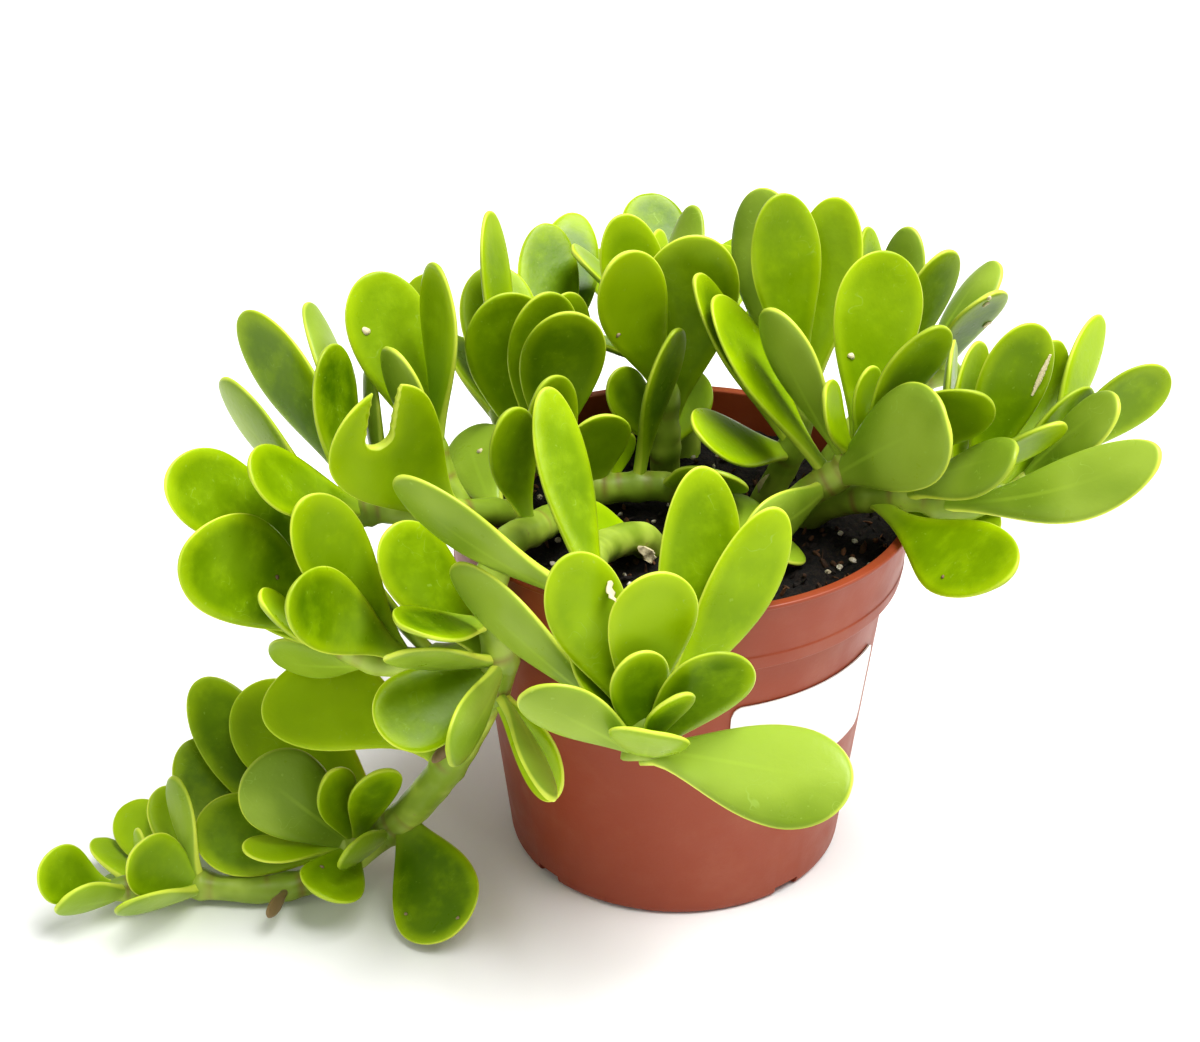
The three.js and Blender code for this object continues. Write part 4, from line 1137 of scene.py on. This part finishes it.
def make_soil(material):
    rings, around = SOIL_RINGS, SOIL_ROUND
    radius = SOIL_EDGE_RADIUS * np.sqrt(np.arange(1, rings + 1) / rings)[::-1]
    turn = 2 * math.pi * np.arange(around) / around
    x = radius[:, None] * np.cos(turn)
    y = radius[:, None] * np.sin(turn)
    top = np.stack([x, y, soil_height(x, y)], axis=2)
    under = np.stack([x[0] * 0.97, y[0] * 0.97, np.full(around, SOIL_Z - SOIL_DEPTH)], axis=1)
    ends = np.array([[0, 0, SOIL_Z - SOIL_DEPTH], [0, 0, float(soil_height(0.0, 0.0))]])
    surface = Surface()
    surface.add(np.vstack([under, top.reshape(-1, 3), ends]), ring_faces(rings + 1, around))
    soil = surface.piece("soil_top", material)
    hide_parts("soil")
    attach(soil, "root")


def add_chip(surface, centre, size, rng, lumps=6):
    """A small irregular lump, as a rough ball of a few rings squeezed to its size."""
    rings = CHIP_RINGS
    heights = np.cos(np.linspace(0.35, math.pi - 0.35, rings))
    turn = 2 * math.pi * np.arange(lumps) / lumps
    wide = np.sqrt(1 - heights**2)[:, None] * rng.uniform(0.75, 1.25, (rings, lumps))
    ball = np.stack([wide * np.cos(turn), wide * np.sin(turn), np.repeat(-heights[:, None], lumps, 1)], 2)
    ball = np.vstack([ball.reshape(-1, 3), [[0, 0, -1], [0, 0, 1]]]) * np.asarray(size) / 2
    spin = np.linalg.qr(rng.normal(size=(3, 3)))[0]
    spin[:, 0] *= np.sign(np.linalg.det(spin))
    surface.add(ball @ spin.T + centre, ring_faces(rings, lumps), tone=rng.uniform(0, 1))


def scatter(count, sizes, rng, sink):
    """Places and sizes of bits on the soil. Sink is how far their middles lie above its top, as a share
    of their least size."""
    for _ in range(count):
        radius = (SOIL_EDGE_RADIUS - 3) * math.sqrt(rng.uniform(0, 1))
        turn = rng.uniform(0, 2 * math.pi)
        x, y = radius * math.cos(turn), radius * math.sin(turn)
        size = rng.uniform(*sizes)
        yield np.array([x, y, soil_height(x, y) + size.min() * sink]), size


def make_soil_bits(bark_material, perlite_material):
    rng = np.random.default_rng(SOIL_SEED)
    bark, perlite = Surface(), Surface()
    for centre, size in scatter(BARK_BITS, BARK_SIZES, rng, 0.2):
        add_chip(bark, centre, size, rng)
    for centre, size in scatter(PERLITE_BITS, PERLITE_SIZES, rng, 0.3):
        add_chip(perlite, centre, size, rng, lumps=8)
    kinds = ((bark, "bark_bits", bark_material), (perlite, "perlite_bits", perlite_material))
    for surface, name, material in kinds:
        piece = surface.piece(name, material, smooth=False)
        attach(piece, "root")


# Materials


class Nodes:
    """A material and short ways to add nodes to it."""

    def __init__(self, name):
        self.material = bpy.data.materials.new(name)
        self.material.use_nodes = True
        self.tree = self.material.node_tree
        self.shader = self.tree.nodes["Principled BSDF"]

    def link(self, source, socket):
        self.tree.links.new(source, socket)

    def attribute(self, name):
        node = self.tree.nodes.new("ShaderNodeAttribute")
        node.attribute_name = name
        return node.outputs["Fac"]

    def position(self):
        return self.tree.nodes.new("ShaderNodeTexCoord").outputs["Object"]

    def noise(self, scale, detail=3, roughness=0.5, distortion=0, offset=None, stretch=None):
        """Noise over the object, with features about 1 / scale metres across."""
        node = self.tree.nodes.new("ShaderNodeTexNoise")
        node.inputs["Scale"].default_value = scale
        node.inputs["Detail"].default_value = detail
        node.inputs["Roughness"].default_value = roughness
        node.inputs["Distortion"].default_value = distortion
        place = self.position()
        if offset is not None or stretch is not None:
            mapping = self.tree.nodes.new("ShaderNodeMapping")
            mapping.inputs["Location"].default_value = offset or (0, 0, 0)
            mapping.inputs["Scale"].default_value = stretch or (1, 1, 1)
            self.link(place, mapping.inputs["Vector"])
            place = mapping.outputs["Vector"]
        self.link(place, node.inputs["Vector"])
        return node.outputs["Fac"]

    def step(self, value, low, high, to_low=0.0, to_high=1.0):
        """The value mapped smoothly from the range low..high."""
        node = self.tree.nodes.new("ShaderNodeMapRange")
        node.interpolation_type = "SMOOTHSTEP"
        sockets = ("From Min", "From Max", "To Min", "To Max")
        for socket, number in zip(sockets, (low, high, to_low, to_high)):
            node.inputs[socket].default_value = number
        self.link(value, node.inputs["Value"])
        return node.outputs["Result"]

    def math(self, operation, *values):
        node = self.tree.nodes.new("ShaderNodeMath")
        node.operation = operation
        for socket, value in zip(node.inputs, values):
            if isinstance(value, (int, float)):
                socket.default_value = value
            else:
                self.link(value, socket)
        return node.outputs[0]

    def mix(self, share, a, b):
        """Colour a where the share is 0 and colour b where it is 1."""
        node = self.tree.nodes.new("ShaderNodeMix")
        node.data_type = "RGBA"
        sockets = (node.inputs[0], node.inputs[6], node.inputs[7])
        for socket, value in zip(sockets, (share, a, b)):
            if isinstance(value, tuple):
                socket.default_value = (*value, 1)
            elif isinstance(value, (int, float)):
                socket.default_value = value
            else:
                self.link(value, socket)
        return node.outputs[2]

    def bump(self, height, distance_mm, strength=1.0):
        node = self.tree.nodes.new("ShaderNodeBump")
        node.inputs["Distance"].default_value = distance_mm * MM
        node.inputs["Strength"].default_value = strength
        self.link(height, node.inputs["Height"])
        self.link(node.outputs["Normal"], self.shader.inputs["Normal"])

    def finish(self, colour, roughness, **constants):
        if isinstance(colour, tuple):
            self.shader.inputs["Base Color"].default_value = (*colour, 1)
        else:
            self.link(colour, self.shader.inputs["Base Color"])
        if isinstance(roughness, (int, float)):
            self.shader.inputs["Roughness"].default_value = roughness
        else:
            self.link(roughness, self.shader.inputs["Roughness"])
        for name, value in constants.items():
            self.shader.inputs[name.replace("_", " ")].default_value = value
        return self.material


def shade(red, green, blue):
    """A colour given as it looks on a screen, 0 to 255, as the linear values that a shader takes."""
    def linear(value):
        value = value / 255
        return value / 12.92 if value <= 0.04045 else ((value + 0.055) / 1.055) ** 2.4
    return linear(red), linear(green), linear(blue)


LEAF_COLOURS = {
    "bright": shade(160, 190, 0),
    "middle": shade(122, 152, 0),
    "deep": shade(76, 110, 0),
    # painted glow: light shining through the thin flesh near the edge
    "painted_glow": shade(180, 206, 6),
    "under": shade(154, 178, 64),
    "under_deep": shade(124, 150, 42),
    # rim: partly the edge's own pale colour, partly painted light shining through the thin edge
    "rim": shade(224, 234, 96),
    "foot": shade(170, 196, 70),
    "young": shade(164, 198, 18),
    "bloom": shade(160, 188, 86),
    "dry": shade(132, 112, 80),
}


def make_leaf_material():
    """Glossy fleshy green, paler below, with a pale foot, a painted glow of light through the flesh towards
    the edge, and a thin clear rim that is partly its own pale colour and partly painted light.
    """
    leaf = Nodes("leaf")
    upper = leaf.step(leaf.attribute("upper"), -0.18, 0.12)
    edge = leaf.attribute("edge")
    share = leaf.attribute("share")
    mottle = leaf.noise(90, detail=5, roughness=0.6)
    broad = leaf.noise(28, detail=2)
    tone = leaf.math("MULTIPLY", leaf.attribute("tone"), 0.5)
    depth = leaf.math("ADD", tone, leaf.math("MULTIPLY", broad, 0.6))
    top = leaf.mix(leaf.step(depth, 0.2, 0.6), LEAF_COLOURS["deep"], LEAF_COLOURS["middle"])
    top = leaf.mix(leaf.step(depth, 0.55, 0.95), top, LEAF_COLOURS["bright"])
    top = leaf.mix(leaf.step(mottle, 0.42, 0.72, 0, 0.38), top, LEAF_COLOURS["bright"])
    # Painted glow of light shining through the flesh, strongest near the edge
    painted_glow = leaf.math("MULTIPLY", leaf.step(edge, 0.2, 5, 0.6, 0), leaf.step(broad, 0.3, 0.6, 0.5, 1))
    top = leaf.mix(painted_glow, top, LEAF_COLOURS["painted_glow"])
    below = leaf.mix(leaf.step(broad, 0.35, 0.65), LEAF_COLOURS["under_deep"], LEAF_COLOURS["under"])
    across = leaf.math("ABSOLUTE", leaf.attribute("across"))
    vein = leaf.math("MULTIPLY", leaf.step(across, 0.2, 1.0, 1, 0), leaf.step(share, 0.3, 0.9, 0.4, 0))
    below = leaf.mix(vein, below, LEAF_COLOURS["foot"])
    colour = leaf.mix(upper, below, top)
    colour = leaf.mix(leaf.math("MULTIPLY", leaf.attribute("young"), 0.9), colour, LEAF_COLOURS["young"])
    colour = leaf.mix(leaf.step(share, 0.04, 0.34, 0.6, 0), colour, LEAF_COLOURS["foot"])
    bloom = leaf.math("MULTIPLY", leaf.step(share, 0.2, 0.75, 1, 0.25), leaf.step(broad, 0.5, 0.7, 0, 0.35))
    colour = leaf.mix(bloom, colour, LEAF_COLOURS["bloom"])
    lines = leaf.noise(150, detail=1, distortion=0.6, offset=(3, 1, 2))
    scratch = leaf.step(leaf.math("ABSOLUTE", leaf.math("SUBTRACT", lines, 0.5)), 0.002, 0.007, 0.5, 0)
    scratch = leaf.math("MULTIPLY", scratch, leaf.step(mottle, 0.52, 0.66))
    colour = leaf.mix(scratch, colour, LEAF_COLOURS["bloom"])
    fleck = leaf.step(leaf.noise(620, detail=1), 0.72, 0.78, 0, 0.35)
    colour = leaf.mix(fleck, colour, LEAF_COLOURS["bloom"])
    # Thin pale rim, partly the edge's own colour and partly painted light shining through it
    rim = leaf.math("MULTIPLY", leaf.step(edge, 0.0, 0.6, 0.85, 0), leaf.step(broad, 0.35, 0.6, 0.35, 1))
    colour = leaf.mix(rim, colour, LEAF_COLOURS["rim"])
    colour = leaf.mix(leaf.attribute("dry"), colour, LEAF_COLOURS["dry"])
    grain = leaf.math("ADD", leaf.noise(500, detail=3), leaf.math("MULTIPLY", leaf.noise(60, detail=2), 4))
    leaf.bump(grain, 0.3, 0.3)
    roughness = leaf.step(mottle, 0.3, 0.75, 0.27, 0.42)
    leaf.shader.subsurface_method = "RANDOM_WALK"
    return leaf.finish(
        colour, roughness, Subsurface_Weight=0.2, Subsurface_Radius=(0.9, 1.0, 0.2),
        Subsurface_Scale=0.0016, IOR=1.45, Specular_IOR_Level=0.25,
    )


def make_stem_material():
    """Smooth pale green stem with brown leaf scars and a few corky patches."""
    stem = Nodes("stem")
    blotch = stem.noise(70, detail=2)
    colour = stem.mix(stem.step(blotch, 0.35, 0.7), shade(134, 158, 46), shade(182, 202, 84))
    cork = stem.step(stem.noise(140, detail=4, roughness=0.6), 0.66, 0.76, 0, 0.6)
    colour = stem.mix(cork, colour, shade(160, 138, 88))
    colour = stem.mix(stem.math("MULTIPLY", stem.attribute("scar"), 0.7), colour, shade(136, 104, 58))
    stem.bump(stem.noise(260, detail=3), 0.3, 0.35)
    return stem.finish(
        colour, 0.42, Subsurface_Weight=0.15, Subsurface_Radius=(0.9, 1.0, 0.3), Subsurface_Scale=0.001)


def make_cork_material():
    """Dry cork: pale and papery, browner towards the middle of a spot."""
    cork = Nodes("cork")
    pale = cork.mix(cork.noise(900, detail=3), shade(214, 196, 150), shade(238, 228, 196))
    core = cork.math("ADD", cork.attribute("core"), cork.attribute("dark"))
    colour = cork.mix(cork.step(core, 0.25, 1.1), pale, shade(98, 66, 38))
    cork.bump(cork.noise(1500, detail=3), 0.3, 0.6)
    return cork.finish(colour, 0.7)


def make_pot_material():
    """Dull terracotta plastic with a fine moulded grain and faint dust."""
    pot = Nodes("pot_plastic")
    dust = pot.step(pot.noise(45, detail=6, roughness=0.65), 0.45, 0.8, 0, 0.16)
    colour = pot.mix(pot.noise(14, detail=2), shade(144, 62, 32), shade(153, 69, 38))
    colour = pot.mix(dust, colour, shade(178, 118, 84))
    pot.bump(pot.noise(900, detail=3), 0.12, 0.4)
    roughness = pot.step(pot.noise(80, detail=4), 0.3, 0.7, 0.4, 0.52)
    return pot.finish(colour, roughness)


def make_soil_material():
    """Near-black damp peat."""
    soil = Nodes("peat")
    fine = soil.noise(420, detail=8, roughness=0.7)
    colour = soil.mix(soil.step(fine, 0.4, 0.68), shade(10, 7, 5), shade(46, 33, 24))
    soil.bump(fine, 3, 1)
    return soil.finish(colour, 0.9)


def make_bark_material():
    bark = Nodes("bark")
    colour = bark.mix(bark.step(bark.attribute("tone"), 0.3, 0.95), shade(24, 16, 11), shade(118, 80, 48))
    colour = bark.mix(bark.step(bark.noise(600, detail=4), 0.4, 0.7, 0, 0.5), colour, shade(40, 26, 16))
    bark.bump(bark.noise(900, detail=3), 0.5, 0.8)
    return bark.finish(colour, 0.85)


def make_perlite_material():
    perlite = Nodes("perlite")
    grey = perlite.step(perlite.noise(500, detail=4), 0.35, 0.7)
    colour = perlite.mix(grey, shade(170, 158, 132), shade(232, 226, 208))
    perlite.bump(perlite.noise(1200, detail=3), 0.4, 0.8)
    return perlite.finish(colour, 0.8)


def make_label_material():
    label = Nodes("label_paper")
    colour = label.mix(label.noise(60, detail=3), shade(246, 245, 244), shade(253, 253, 252))
    label.bump(label.noise(700, detail=3), 0.05, 0.3)
    return label.finish(colour, 0.55)


# Stage


def make_floor():
    """A wide pale floor."""
    mesh = bpy.data.meshes.new("floor")
    sides = ((-1, -1), (1, -1), (1, 1), (-1, 1))
    corners = [(x * FLOOR_HALF_WIDTH, y * FLOOR_HALF_WIDTH, 0) for x, y in sides]
    mesh.from_pydata(corners, [], [(0, 1, 2, 3)])
    floor = Nodes("floor")
    mesh.materials.append(floor.finish((FLOOR_SHADE,) * 3, 0.9))
    obj = bpy.data.objects.new("floor", mesh)
    bpy.context.scene.collection.objects.link(obj)


def make_light(name, kind, energy, place, size=None):
    """A light at a place, aimed at the middle of the plant."""
    data = bpy.data.lights.new(name, kind)
    data.energy = energy
    if size:
        data.size = size
    light = bpy.data.objects.new(name, data)
    light.location = place
    direction = np.subtract(LIGHT_AIM, place)
    light.rotation_euler = (
        math.atan2(math.hypot(direction[0], direction[1]), -direction[2]), 0,
        math.atan2(direction[1], direction[0]) - math.pi / 2,
    )
    bpy.context.scene.collection.objects.link(light)
    return data


def make_stage():
    make_floor()
    key = make_light("key", "SUN", KEY_STRENGTH, (0.4, -0.15, 1.15))
    key.angle = math.radians(KEY_SPREAD)
    make_light("glint", "AREA", GLINT_POWER, (0.3, 0.1, 1.1), size=0.3)
    make_light("fill", "AREA", FILL_POWER, (-0.9, -0.6, 0.7), size=1.0)
    world = bpy.data.worlds.new("studio")
    world.use_nodes = True
    background = world.node_tree.nodes["Background"]
    background.inputs["Color"].default_value = (1, 1, 1, 1)
    background.inputs["Strength"].default_value = WORLD_STRENGTH
    bpy.context.scene.world = world
    bpy.context.scene.view_settings.view_transform = "Standard"
    bpy.context.scene.view_settings.look = "Medium High Contrast"


def make_camera():
    data = bpy.data.cameras.new("camera")
    data.lens = CAMERA_LENS
    data.sensor_width = CAMERA_SENSOR
    camera = bpy.data.objects.new("camera", data)
    camera.location = VIEW_POINT * MM
    camera.rotation_euler = (math.radians(CAMERA_PITCH), 0, 0)
    bpy.context.scene.collection.objects.link(camera)
    bpy.context.scene.camera = camera


shoots = make_shoots(make_leaf_material(), make_stem_material())
make_marks(shoots, make_cork_material())
make_pot(make_pot_material())
make_label(make_label_material())
make_soil(make_soil_material())
make_soil_bits(make_bark_material(), make_perlite_material())
make_stage()
make_camera()
